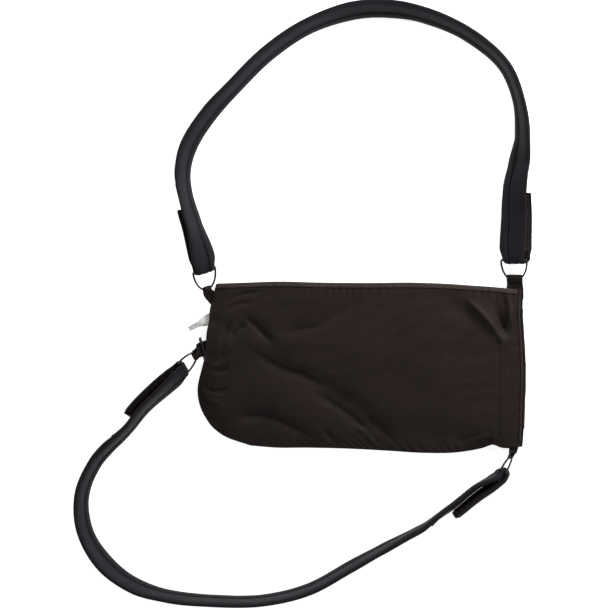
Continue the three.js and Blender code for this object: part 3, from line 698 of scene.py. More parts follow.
BROAD_FOLDS = (
    Crease(((0.12, 0.36), (0.245, 0.493), (0.381, 0.61), (0.517, 0.795), (0.62, 0.97)), 17, -3.8, 0.25),
    Crease(((0.24, 0.32), (0.313, 0.275), (0.41, 0.21), (0.5, 0.06)), 11, -2.6, -0.3),
    Crease(((0.09, 0.8), (0.177, 0.781), (0.286, 0.846), (0.38, 0.96)), 11, -2.4, 0.2),
    Crease(((0.12, 0.17), (0.17, 0.243), (0.204, 0.308), (0.235, 0.4)), 9, -2.2, 0.2),
    Crease(((0.15, 0.22), (0.115, 0.28), (0.085, 0.36)), 9, -2.2),
    Crease(((0.73, 0.07), (0.79, 0.15), (0.86, 0.25)), 13, -1.6),
    Crease(((0.8, 0.07), (0.864, 0.177), (0.905, 0.269), (0.945, 0.4)), 9, 2.6, -0.2),
    Crease(((0.93, 0.05), (0.928, 0.177), (0.945, 0.33)), 8, -4.2, 0.2),
    Crease(((0.4, 0.35), (0.6, 0.4), (0.72, 0.6)), 40, 1.8),
    Crease(((0.6, 0.86), (0.75, 0.9), (0.86, 0.9)), 14, -1.5),
)
SHARP_FOLDS = (
    Crease(((0.156, 0.381), (0.245, 0.493), (0.326, 0.546), (0.4, 0.63)), 5, -1.3, 0.3),
    Crease(((0.34, 0.62), (0.42, 0.72), (0.49, 0.82), (0.54, 0.93)), 5, -1.4, 0.3),
    Crease(((0.48, 0.84), (0.52, 0.9), (0.548, 0.965)), 3.6, 2.2),
    Crease(((0.49, 0.86), (0.535, 0.92), (0.565, 0.98)), 3, -1.2),
    Crease(((0.5, 0.78), (0.56, 0.87), (0.606, 0.95)), 5, -1.0),
    Crease(((0.374, 0.85), (0.4, 0.9), (0.43, 0.96)), 4, -1.2),
    Crease(((0.252, 0.31), (0.313, 0.275), (0.36, 0.263), (0.41, 0.2)), 4, -1.2, -0.3),
    Crease(((0.4, 0.22), (0.448, 0.163), (0.5, 0.08)), 3.6, -0.9),
    Crease(((0.133, 0.19), (0.17, 0.243), (0.204, 0.308), (0.228, 0.361)), 3.4, -1.3),
    Crease(((0.065, 0.14), (0.116, 0.08), (0.2, 0.045)), 3, -1.7),
    Crease(((0.06, 0.2), (0.1, 0.14), (0.17, 0.11)), 3.2, -1.5),
    Crease(((0.15, 0.24), (0.12, 0.28), (0.098, 0.33)), 4, -1.9),
    Crease(((0.06, 0.36), (0.078, 0.3), (0.1, 0.22)), 3.4, -2.3),
    Crease(((0.05, 0.43), (0.064, 0.36), (0.07, 0.3)), 3.0, 1.9),
    Crease(((0.032, 0.45), (0.06, 0.46), (0.082, 0.4)), 2.8, -1.8),
    Crease(((0.03, 0.5), (0.06, 0.52), (0.1, 0.49)), 3.0, -1.8),
    Crease(((0.012, 0.6), (0.045, 0.64), (0.09, 0.62)), 3.2, -1.9),
    Crease(((0.015, 0.66), (0.04, 0.7), (0.07, 0.7)), 3.0, 1.3),
    Crease(((0.1, 0.79), (0.177, 0.781), (0.238, 0.801), (0.286, 0.846), (0.34, 0.91)), 4, -1.1, 0.3),
    Crease(((0.817, 0.09), (0.864, 0.177), (0.905, 0.269), (0.939, 0.375)), 3.2, 1.9),
    Crease(((0.926, 0.06), (0.934, 0.124), (0.917, 0.177), (0.926, 0.243), (0.943, 0.31)), 3.2, -3.4),
    Crease(((0.945, 0.08), (0.952, 0.16), (0.945, 0.25)), 3, 1.9),
    Crease(((0.84, 0.93), (0.885, 0.905), (0.93, 0.935)), 3.2, 1.8),
    Crease(((0.78, 0.95), (0.83, 0.915), (0.875, 0.885)), 4, -1.4),
    Crease(((0.9, 0.97), (0.915, 0.92), (0.92, 0.87)), 3, -1.2),
    Crease(((0.66, 0.93), (0.675, 0.96), (0.68, 1.0)), 3.2, -0.8),
    Crease(((0.7, 0.93), (0.71, 0.96), (0.72, 1.0)), 3.2, 0.8),
    Crease(((0.74, 0.94), (0.752, 0.97), (0.76, 1.0)), 3, -0.7),
)


@dataclass(frozen=True)
class Ripple:
    """Puckers beside a row of stitches: a sine along it that dies away from it, in millimetres."""

    height: float
    reach: float
    period: float  # over 2 pi
    wander: float  # share of a wandering phase

    def at(self, away: Array, along: Array, phase: Array) -> Array:
        """height exp(-away / reach) sin(along / period + wander phase)."""
        return self.height * np.exp(-away / self.reach) * np.sin(along / self.period + self.wander * phase)


MOUTH_PUCKERS = Ripple(0.95, 5, 1.55, 1.0)
BOTTOM_PUCKERS = Ripple(0.8, 7, 2.3, 1.5)
LEFT_PUCKERS = Ripple(0.8, 8, 2.6, 1.2)


@dataclass(frozen=True)
class SewnIn:
    """A place on the pouch's edge where webbing or ribbon is sewn between the layers."""

    along: float
    down: float
    room: float  # mm between the layers
    near: float  # mm from the place to where the room starts to close
    far: float  # and to where it is closed
    pulled: bool  # whether a strap pulls there

    def away(self, points: Array) -> Array:
        """Distances of points from the place."""
        return np.linalg.norm(points - OUTLINE.at(self.along, self.down), axis=-1)


@dataclass
class Pouch:
    """Two layers of cloth closed along the left and the bottom, with bound edges and a facing."""

    sewn: list[SewnIn]
    loft: float = 13.0
    binding_width: float = 5.4
    end_binding_width: float = 2.2
    binding_thickness: float = 0.8
    binding_gap: float = 0.08  # mm from the cloth
    binding_step: float = 1.2  # mm between its stations
    facing: float = 30.0  # mm of turned-in cloth at the hand end
    rim: float = 1.1  # mm over which an edge rounds off
    broad: float = 1.1  # strength of the broad folds
    sharp: float = 1.6  # and of the sharp ones
    pull: tuple[float, float] = (20.0, 70.0)  # mm from a tab where its lift starts to fade, and is gone
    least_pucker: float = -0.6  # mm
    soft_loft: float = 6.0  # mm of loft below which the folds fade
    rim_depth: float = 0.97  # share of the cloth's thickness squared that its rim loses

    def lift(self, points: Array) -> Array:
        """How far the straps' pull lifts both layers beside the tabs, with an eased fall."""
        tabs = [s for s in self.sewn if s.pulled]
        return np.max([SEAM_LIFT * (1 - smooth(s.away(points), *self.pull)) for s in tabs], axis=0)

    def room(self, points: Array) -> Array:
        """Room that the layers leave for what is sewn between them."""
        return np.max([s.room * (1 - smooth(s.away(points), s.near, s.far)) for s in self.sewn], axis=0)

    def puckers(self, across: Array, down: Array) -> Array:
        """Ripples that stitching draws into the cloth.

        They lie under the mouth's binding, along the bottom and left seams and beside the facing,
        whose row of stitches is a sharp valley. Their phases wander by slower sines.
        """
        x, y = across * OUTLINE.length, down * OUTLINE.height
        low, hem = OUTLINE.height - y, x - (OUTLINE.length - self.facing)
        waver = 1.3 * np.sin(x / 23) + 0.9 * np.sin(x / 9.7 + 1)
        mouth = MOUTH_PUCKERS.at(np.clip(y - self.binding_width, 0, None), x, waver) * smooth(x, 30, 110)
        mouth *= (0.2 + 0.8 * smooth(y, 4.5, 8.5)) * (0.55 + 0.45 * np.sin(x / 31 + 2))
        bottom = BOTTOM_PUCKERS.at(low, x, waver) * smooth(x, 60, 160) * smooth(low, 0.5, 3)
        left = LEFT_PUCKERS.at(x, y, np.sin(y / 13)) * smooth(x, 0.5, 3)
        facing = -0.9 * bump(hem, 1.4) + 0.2 * bump(hem, 7) * np.sin(y / 2.4 + np.sin(y / 11))
        return mouth + bottom + left + facing

    @staticmethod
    def crumples(x: Array, y: Array) -> Array:
        """A slow swell and two sizes of crumples: products of sines whose phases wander."""
        slow = 0.35 * np.sin(x / 17 + y / 29) + 0.3 * np.sin(x / 31 - y / 13 + 1)
        slow += 0.2 * np.sin(y / 9 + x / 40)
        a, b = 0.57 * x - 0.82 * y, 0.82 * x + 0.57 * y
        large = 0.38 * np.sin(a / 4.3 + 2 * np.sin(b / 23)) * np.sin(b / 12 + 1.7 * np.sin(a / 19))
        small = 0.15 * np.sin(a / 1.9 + 3 * np.sin(b / 15 + a / 31)) * np.sin(b / 6.3 + 2 * np.sin(a / 12))
        return slow + large + small

    def front(self, across: Array, down: Array) -> Array:
        """Height of the front layer's underside.

        A pillow, the loft times 1 - exp(-distance / reach) for each closed edge and partly so for
        the open ones, with the folds, crumples and ripples added; hypot with the room for what is
        sewn in keeps the layers apart there.
        """
        points = OUTLINE.point(across, down, OUTLINE.set_back)
        left, right = across * OUTLINE.length, (1 - across) * OUTLINE.length
        top, bottom = down * OUTLINE.height, (1 - down) * OUTLINE.height
        pillow = self.loft
        edges = ((left, 40, 0), (bottom, 32, 0), (top, 45, 0.5), (right, 50, 0.6), (right + top, 35, 0.15))
        for away, reach, least in edges:
            pillow = pillow * mix(1 - np.exp(-away / reach), 1, least)
        folds = self.crumples(points[..., 0], points[..., 1])
        for creases, strength in ((BROAD_FOLDS, self.broad), (SHARP_FOLDS, self.sharp)):
            folds += sum(crease.relief(points) for crease in creases) * strength
        free = np.clip(pillow + folds * np.clip(pillow / self.soft_loft, 0, 1), 0, None)
        free = np.clip(free + np.clip(self.puckers(across, down), self.least_pucker, None), 0, None)
        return self.lift(points) + CLOTH + CLEARANCE + np.hypot(free, self.room(points))

    def height(self, across: Array, down: Array, front: bool) -> Array:
        """Height of a layer's middle. The back one is flat on the floor but for the lift at the tabs."""
        under = self.front(across, down) if front else self.lift(OUTLINE.point(across, down))
        return under + CLOTH / 2

    def top(self, across: Array, down: Array) -> Array:
        """Points on the front layer's outer face."""
        flat = OUTLINE.point(across, down, OUTLINE.set_back)
        return raised(flat, self.front(across, down) + CLOTH)

    @staticmethod
    def shares(size: float, count: int) -> Array:
        """Even shares of a size, with closer ones beside both edges for the rounded rim."""
        edge = np.array([0, 0.12, 0.4, 0.8, 1.3]) / size
        return np.r_[edge, np.linspace(1.9 / size, 1 - 1.9 / size, count), 1 - edge[::-1]]

    def layer(self, name: str, counts: tuple[int, int], front: bool) -> MeshMaker:
        """A layer of cloth with rounded rims.

        The outer and inner faces are the grid's heights plus and minus half the thickness; within
        the rim both draw in to the middle by a quarter circle of the distance to the edge.

        Args:
            name: The piece's name.
            counts: Points along and down, but for those at the rims.
            front: Whether it is the front layer.

        Returns:
            The mesh.
        """
        sizes = (OUTLINE.length, OUTLINE.height)
        shares = np.meshgrid(*(self.shares(size, count) for size, count in zip(sizes, counts)))
        flat = OUTLINE.point(*shares, OUTLINE.set_back if front else 0.0)
        away = np.min([edge * size for s, size in zip(shares, sizes) for edge in (s, 1 - s)], axis=0)
        half = CLOTH / 2 * np.sqrt(1 - self.rim_depth * np.clip(1 - away / self.rim, 0, 1) ** 2)
        middle = self.height(*shares, front)
        lower, upper = (raised(flat, middle + side * half) for side in (-1, 1))
        uv = np.concatenate([flat, flat[:, ::-1], flat[:, :1]], 1) * MM
        return MeshMaker(name).band(np.concatenate([lower, upper[:, ::-1]], 1), uv)

    def binding(
        self, name: str, front: bool, mouth: bool, width: float, span: tuple[float, float]
    ) -> MeshMaker:
        """Tape folded over an open edge.

        Its section is a flattened arch: one leg on the cloth, a round nose past the edge, and one
        leg under it. Each point takes the cloth's height where it lies, so the tape follows the
        folds. The nose's points turn through half a circle.

        Args:
            name: The piece's name.
            front: Whether it binds the front layer.
            mouth: Whether it runs along the mouth rather than the hand end.
            width: Millimetres of cloth that it covers.
            span: Shares of the edge where it starts and stops.

        Returns:
            The mesh.
        """
        size = OUTLINE.length if mouth else OUTLINE.height
        t, reach = self.binding_thickness, CLOTH / 2 + self.binding_gap
        upper, lower = 0.75 * t, 0.35 * t
        into = np.linspace(width, 0, 9)
        under = into[::-1][:4]
        crown = 0.28 * t * np.sin(np.pi * into / width) ** 0.7
        turn = np.linspace(np.pi / 2, -np.pi / 2, 9)[1:-1]
        outer = np.r_[
            np.c_[into, reach + upper + crown],
            np.c_[-np.cos(turn) * t * 1.1, np.sin(turn) * (reach + upper)],
            np.c_[under, np.full(4, -reach - lower)],
        ]
        inner = np.r_[
            np.c_[into, np.full(9, reach)],
            np.c_[-np.cos(turn) * 0.12, np.sin(turn) * reach],
            np.c_[under, np.full(4, -reach)],
        ]
        place, rise = np.r_[outer, inner[::-1]].T[:, None]
        run = np.linspace(*span, int(size * (span[1] - span[0]) / self.binding_step))[:, None]
        deep, beyond = np.clip(place, 0, None), np.clip(place, None, 0)
        grid = (run, deep / OUTLINE.height) if mouth else (1 - deep / OUTLINE.length, run)
        across, down = np.broadcast_arrays(*grid)
        flat = OUTLINE.point(across, down, OUTLINE.set_back if front else 0.0).copy()
        flat[..., 1 if mouth else 0] -= beyond
        along = run * size
        pucker = 1 + 0.12 * np.sin(along / MOUTH_PUCKERS.period + 1.3 * np.sin(along / 23))
        lifted = rise * np.where(rise > reach, pucker, 1)
        return MeshMaker(name).band(raised(flat, self.height(across, down, front) + lifted))

    def thread(self, maker: MeshMaker, across: Array, down: Array, above: float) -> None:
        """Stitches along a line of the front layer, at a height above its outer face."""
        step = 0.002
        sides = [self.top(np.clip(across + s, 0, 1), down) for s in (step, -step)]
        ends = [self.top(across, np.clip(down + s, 0, 1)) for s in (step, -step)]
        face = unit(np.cross(ends[0] - ends[1], sides[0] - sides[1]))
        add_stitches(maker, self.top(across, down) + [0, 0, above], face, POUCH_SEAM)

    def build(self) -> None:
        """Makes the layers, bindings and rows of stitches."""
        front = self.layer("front_cloth", (236, 138), True).build(POUCH_CLOTH, ("front_panel",))
        back = self.layer("back_cloth", (150, 90), False).build(POUCH_CLOTH, ("back_panel",))
        wide, narrow = self.binding_width, self.end_binding_width
        mouth = self.binding("mouth_binding", True, True, wide, (0.002, 1 - 4.5 / OUTLINE.length))
        mouth.build(BINDING_TAPE, ("front_top_binding",))
        for side, span in (("front", (0.004, 0.966)), ("back", (0.115, 0.885))):
            edge = self.binding(f"{side}_edge_binding", side == "front", False, narrow, span)
            edge.build(EDGE_TAPE, (f"{side}_end_binding",))
        seams = MeshMaker("pouch_stitches")
        run = np.linspace(0.012, 0.985, 500)
        self.thread(seams, run, np.full(500, (wide - 1.0) / OUTLINE.height), 0.95)
        run = np.linspace(0.05, 0.955, 300)
        self.thread(seams, np.full(300, 1 - self.facing / OUTLINE.length), run, 0.05)
        seams.build(POUCH_THREAD)


# Rings, tabs, slide and label


@dataclass(frozen=True)
class Strapping:
    """Sizes that the straps, tabs and rings share, in millimetres."""

    width: float = 33.0
    thickness: float = 6.5
    end_thickness: float = 4.0
    fold_width: float = 27.0
    flap: float = 88.0
    webbing: float = 1.2
    tab_reach: float = 15.0
    tab_sewn: float = 10.0
    tab_flat: float = 0.3  # share of the way to the ring for which the tab stays level
    ring_width: float = 34.5
    ring_length: float = 28.5
    wire: float = 2.5
    corner: float = 2.6

    @property
    def span(self) -> float:
        """From the ring's bar to the middle of its curved side."""
        return self.ring_length - self.wire

    @property
    def half_ring(self) -> float:
        """From the ring's middle to the middle of its wire at the widest."""
        return (self.ring_width - self.wire) / 2

    @property
    def fold_inside(self) -> float:
        """Radius of the strap's inner face round the bar."""
        return self.wire / 2 + CLEARANCE + 0.05

    @property
    def flap_offset(self) -> float:
        """From the ring's plane to the middle of each layer of the strap."""
        return self.fold_inside + self.end_thickness / 2

    @property
    def patch(self) -> float:
        """Thickness of a fastening tape."""
        return (2 * self.fold_inside - 4.5 * CLEARANCE) / 2

    def resting(self, lean: Array, offset: Array, splay: Array) -> Array:
        """Height at which a leaning strap rests: half its width times sin(lean), plus its layers."""
        angle = np.radians(lean)
        level = np.abs(np.cos(angle)) + np.sin(np.radians(np.abs(splay) / 2))
        return self.width / 2 * np.sin(angle) + (self.thickness / 2 + offset) * level


SIZES = Strapping()


@dataclass(frozen=True)
class StrapEnd:
    """Where a ring hangs on the pouch. Headings, leans, pitch and splay are in degrees."""

    name: str
    along: float  # place of the tab's seam, as shares of the pouch
    down: float
    heading: float  # of the tab where it leaves the seam
    ring_heading: float
    reach: float  # share of the longest tab
    lean: float  # of the ring about its axis
    pitch: float  # of the ring's axis over the floor
    splay: float  # by which the flap stands open
    skew: float  # mm by which the flap lies aside
    flap: float  # share of the longest flap
    plump: float  # extra padding beside the flap, as a share
    ahead: float  # mm for which the strap keeps the ring's heading
    webbing: tuple[float, float]  # mm of the webbing's width at its seam and at its fold
    side: int  # 1 where its strap sets out, -1 where its strap arrives

    @property
    def bar_height(self) -> float:
        """Height of the ring's bar, with the ring and the strap both off the floor."""
        standing = SIZES.ring_width / 2 * np.sin(np.radians(self.lean)) + CLEARANCE + SIZES.wire / 2
        return max(float(SIZES.resting(self.lean, SIZES.flap_offset, 0.0)), standing)

    @property
    def axis(self) -> Array:
        """Direction from the tab to the bar."""
        pitch = np.radians(self.pitch)
        return direction(self.ring_heading) * np.cos(pitch) + [0, 0, np.sin(pitch)]

    @property
    def base(self) -> Array:
        """Middle of the seam that holds the tab."""
        return np.array([*OUTLINE.at(self.along, self.down), SEAM_LIFT + CLOTH + CLEARANCE + SIZES.webbing])

    @property
    def apex(self) -> Array:
        """Middle of the ring's curved side, where the tab holds it."""
        way = direction((self.heading + self.ring_heading) / 2) * self.reach * SIZES.tab_reach
        height = self.bar_height - SIZES.span * np.sin(np.radians(self.pitch))
        return np.array([*(self.base + way)[:2], height])

    @property
    def bar(self) -> Array:
        """Middle of the ring's bar."""
        return self.apex + self.axis * SIZES.span


@dataclass
class Tab:
    """A loop of webbing, from the seam round a ring and back."""

    end: StrapEnd
    handle: float = 0.36  # of the Bezier cubic, as a share of the way to the ring
    eye: tuple[float, float] = (0.6, CLEARANCE + 0.25)  # mm from the wire, along and across
    neck: float = 1.6  # mm from the eye back to where the legs meet
    open_turn: float = 0.68 * np.pi  # by which the eye turns to either side

    def __post_init__(self) -> None:
        """Works out the middle line past the tab's flat start, its directions and its lengths.

        A Bezier cubic leaves the start level and meets the ring along its axis.
        """
        end = self.end
        self.out = direction(end.heading)
        self.flat = float(np.linalg.norm(end.apex - end.base)) * SIZES.tab_flat
        start = end.base + self.out * self.flat
        handle = float(np.linalg.norm(end.apex - start)) * self.handle
        a, b, c, d = start, start + self.out * handle, end.apex - end.axis * handle, end.apex
        t = np.linspace(0, 1, 200)[:, None]
        line = (1 - t) ** 3 * a + 3 * t * (1 - t) ** 2 * b + 3 * t * t * (1 - t) * c + t**3 * d
        self.line = even_steps(line, 120)
        self.way = unit(np.gradient(self.line, axis=0))
        self.length = self.flat + float(distances(self.line)[-1])

    def frames(self, away: Array) -> tuple[Array, Array, Array, Array]:
        """Points and axes of the tab at distances from the seam, of any shape."""
        shape, away = away.shape, away.ravel()
        share = np.clip((away - self.flat) / (self.length - self.flat), 0, 1)
        at = np.linspace(0, 1, len(self.line))
        point = read_rows(share, at, self.line) + np.minimum(away - self.flat, 0)[:, None] * self.out
        point += np.maximum(away - self.length, 0)[:, None] * self.end.axis
        lean = self.end.side * self.end.lean * smooth(share, 0.1, 0.95)
        axes = band_axes(read_rows(share, at, self.way), lean)
        return tuple(part.reshape(*shape, 3) for part in (point, *axes))

    @property
    def rise(self) -> float:
        """How far the ring's curved side has come back at the webbing's edges: an ellipse."""
        share = self.end.webbing[1] / 2 / SIZES.half_ring
        return float((SIZES.span - SIZES.corner) * (1 - np.sqrt(1 - share**2)))

    def place(self, away: Array, across: Array, face: Array) -> Array:
        """Points of the tab from distance along, place across and height through the webbing."""
        across = across * mix(*self.end.webbing, smooth(np.clip(away / self.length, 0, 1), 0, 0.9))
        point, _, w, n = self.frames(away)
        return placed(point, (w, n), across, face)

    def build(self) -> None:
        """Carries the webbing's section along a hairpin round the ring.

        The hairpin's legs lie half a thickness below and above the middle; between them its line
        is an ellipse round the ring's wire.
        """
        t = SIZES.webbing
        middle = self.length + self.rise / 2
        hole = np.array([(SIZES.wire + self.rise) / 2, SIZES.wire / 2]) + self.eye + t / 2
        neck = middle - hole[0] - self.neck
        leg = np.linspace(-SIZES.tab_sewn, neck, 30)
        turn = np.linspace(-self.open_turn, self.open_turn, 40)
        eye = np.c_[middle + np.cos(turn) * hole[0], np.sin(turn) * hole[1]]
        line = np.r_[np.c_[leg, np.full(30, -t / 2)], eye, np.c_[leg[::-1], np.full(30, t / 2)]]
        line = even_steps(line, 120)
        way = unit(np.gradient(line, axis=0))
        across = np.linspace(-0.5, 0.5, 22)
        plump = 0.47 * t * np.sqrt(1 - np.abs(across * 1.96) ** 8)
        out = around(-plump, plump)[None]
        away, face = line[:, :1] - way[:, 1:] * out, line[:, 1:] + way[:, :1] * out
        section = np.broadcast_to(around(across, across), away.shape)
        loop = MeshMaker(f"webbing_{self.end.name}").band(self.place(away, section, face))
        loop.build(WEBBING, (f"tab_{self.end.name}",))
        seams = MeshMaker(f"tab_stitches_{self.end.name}")
        run = np.linspace(-0.44, 0.44, 60)
        for back in (1.2, 3.4):
            place = np.full(60, max(neck - back, 0.6))
            for side in (-1, 1):
                rows, outer = (self.place(place, run, np.full(60, side * (t + s))) for s in (0.05, 1.05))
                add_stitches(seams, rows, outer - rows, TAB_SEAM)
        seams.build(STRAP_THREAD_AND_WELT_HIGHLIGHT)


@dataclass
class Ring:
    """A bent wire ring: a straight bar for the strap and a round side for the tab."""

    end: StrapEnd
    sides: int = 14
    steps: int = 150

    def outline(self) -> Array:
        """The wire's middle line: the bar, two quarter circles and half an ellipse."""
        half, corner = SIZES.half_ring, SIZES.corner
        quarter = np.linspace(0, np.pi / 2, 10)
        right = np.c_[half - corner + np.sin(quarter) * corner, corner - np.cos(quarter) * corner]
        turn = np.linspace(0, np.pi, 80)[1:-1]
        arch = np.c_[np.cos(turn) * half, corner + np.sin(turn) * (SIZES.span - corner)]
        return even_steps(np.vstack([right, arch, right[::-1] * [-1, 1]]), self.steps, closed=True)

    def build(self) -> None:
        """Carries a circle round the wire's middle line, with a flattened joint in the bar."""
        end, path = self.end, self.outline()
        side = outward(path)
        w = band_axes(end.axis[None] * end.side, end.lean)[1][0]
        turn = np.linspace(0, 2 * np.pi, self.sides, endpoint=False)
        joint = (1 - 0.1 * bump(path[:, 0], 0.35) * (path[:, 1] < 1))[:, None] * SIZES.wire / 2
        x, y = (path[:, k : k + 1] + side[:, k : k + 1] * np.cos(turn) * joint for k in range(2))
        points = placed(end.bar, (w, -end.axis, np.cross(w, -end.axis)), x, y, np.sin(turn) * joint)
        wire = MeshMaker(f"wire_ring_{end.name}").band(points, looped=True)
        wire.build(RING_METAL, (f"ring_{end.name}",))


@dataclass
class Slide:
    """A three-bar slide standing on the side tab."""

    end: StrapEnd
    width: float = 30.0
    height: float = 14.0
    thickness: float = 1.8
    bar: float = 1.8
    corner: float = 1.6
    steep: float = 94.0  # degrees from the webbing

    def loop(self, middle: float) -> Array:
        """Middle line of the frame: a rectangle with rounded corners."""
        turn = np.linspace(0, np.pi / 2, 7)
        parts = []
        for k, (sx, sy) in enumerate(((1, 1), (-1, 1), (-1, -1), (1, -1))):
            x, y = ((size - self.bar) / 2 - self.corner for size in (self.width, self.height))
            angle = turn + k * np.pi / 2
            parts.append([sx * x, sy * y + middle] + self.corner * np.c_[np.cos(angle), np.sin(angle)])
        return even_steps(np.vstack(parts), 120, closed=True)

    def build(self) -> None:
        """Carries a rounded square round the frame, and another along the middle bar."""
        tab = Tab(self.end)
        point, t, w, n = (part[0] for part in tab.frames(np.array([tab.flat + 0.4])))
        steep = np.radians(self.steep)
        rise = t * np.cos(steep) + n * np.sin(steep)
        axes = (w, rise, np.cross(w, rise))
        middle = (self.height - self.bar) / 4
        path = self.loop(middle)
        side = outward(path)
        turn = np.linspace(0, 2 * np.pi, 16, endpoint=False) + np.pi / 16
        square = np.stack([np.cos(turn), np.sin(turn)])
        square /= (np.abs(square) ** 5).sum(0) ** 0.2
        out, z = square[0] * self.bar / 2, square[1] * self.thickness / 2
        x, y = (path[:, k : k + 1] + side[:, k : k + 1] * out for k in range(2))
        frame_band = placed(point, axes, x, y, np.broadcast_to(z, x.shape))
        maker = MeshMaker("tab_slide").band(frame_band, looped=True)
        run = np.linspace(-self.width / 2 + self.bar, self.width / 2 - self.bar, 24)
        maker.band(placed(point, axes, *np.broadcast_arrays(run[:, None], middle + out, z)))
        maker.build(SLIDE_PLASTIC, ("side_slide",))


@dataclass
class Label:
    """A blank ribbon sewn in at the left edge, turning up onto its long edge."""

    along: float = 0.044
    down: float = 0.2
    length: float = 32.0
    width: float = 13.0
    thickness: float = 0.5
    heading: float = 207.5
    turned: float = 62.0
    inside: float = 4.0

    def build(self, pouch: Pouch) -> None:
        """Carries a thin section outwards.

        Its lean eases from flat to turned between 7 and 20 mm, its height keeps its lower edge on
        the floor, and its section bows by a sine of the place across.
        """
        base, out = OUTLINE.at(self.along, self.down), direction(self.heading)
        away = np.linspace(-self.inside, self.length, 90)
        lean = self.turned * smooth(away, 7, 20)
        sewn = float(pouch.lift(base[None])[0]) + CLOTH + CLEARANCE + self.thickness / 2
        standing = self.width / 2 * np.sin(np.radians(lean)) + self.thickness
        height = np.maximum(sewn, np.hypot(sewn * (1 - smooth(away, 8, 20)), standing))
        _, w, n = band_axes(np.broadcast_to(out, (90, 3)), -lean)
        centre = np.c_[base + out[:2] * away[:, None], height]
        across = np.linspace(-0.5, 0.5, 26)
        half = 0.36 * self.thickness * (1 + 0.5 * bump(np.abs(across) - 0.47, 0.02))
        x = np.broadcast_to(around(across, across) * self.width, (90, 52))
        bow = 0.5 * np.cos(np.pi * x / self.width) * smooth(away, 6, 24)[:, None]
        curl = (0.35 * np.sin(away / 5.2) * smooth(away, 6, 20))[:, None]
        points = placed(centre[:, None], (w[:, None], n[:, None]), x, around(-half, half) + bow + curl)
        points[..., 2] = np.maximum(points[..., 2], 0.1)
        MeshMaker("ribbon_label").band(points).build(RIBBON_SATIN, ("side_label",))


# Straps


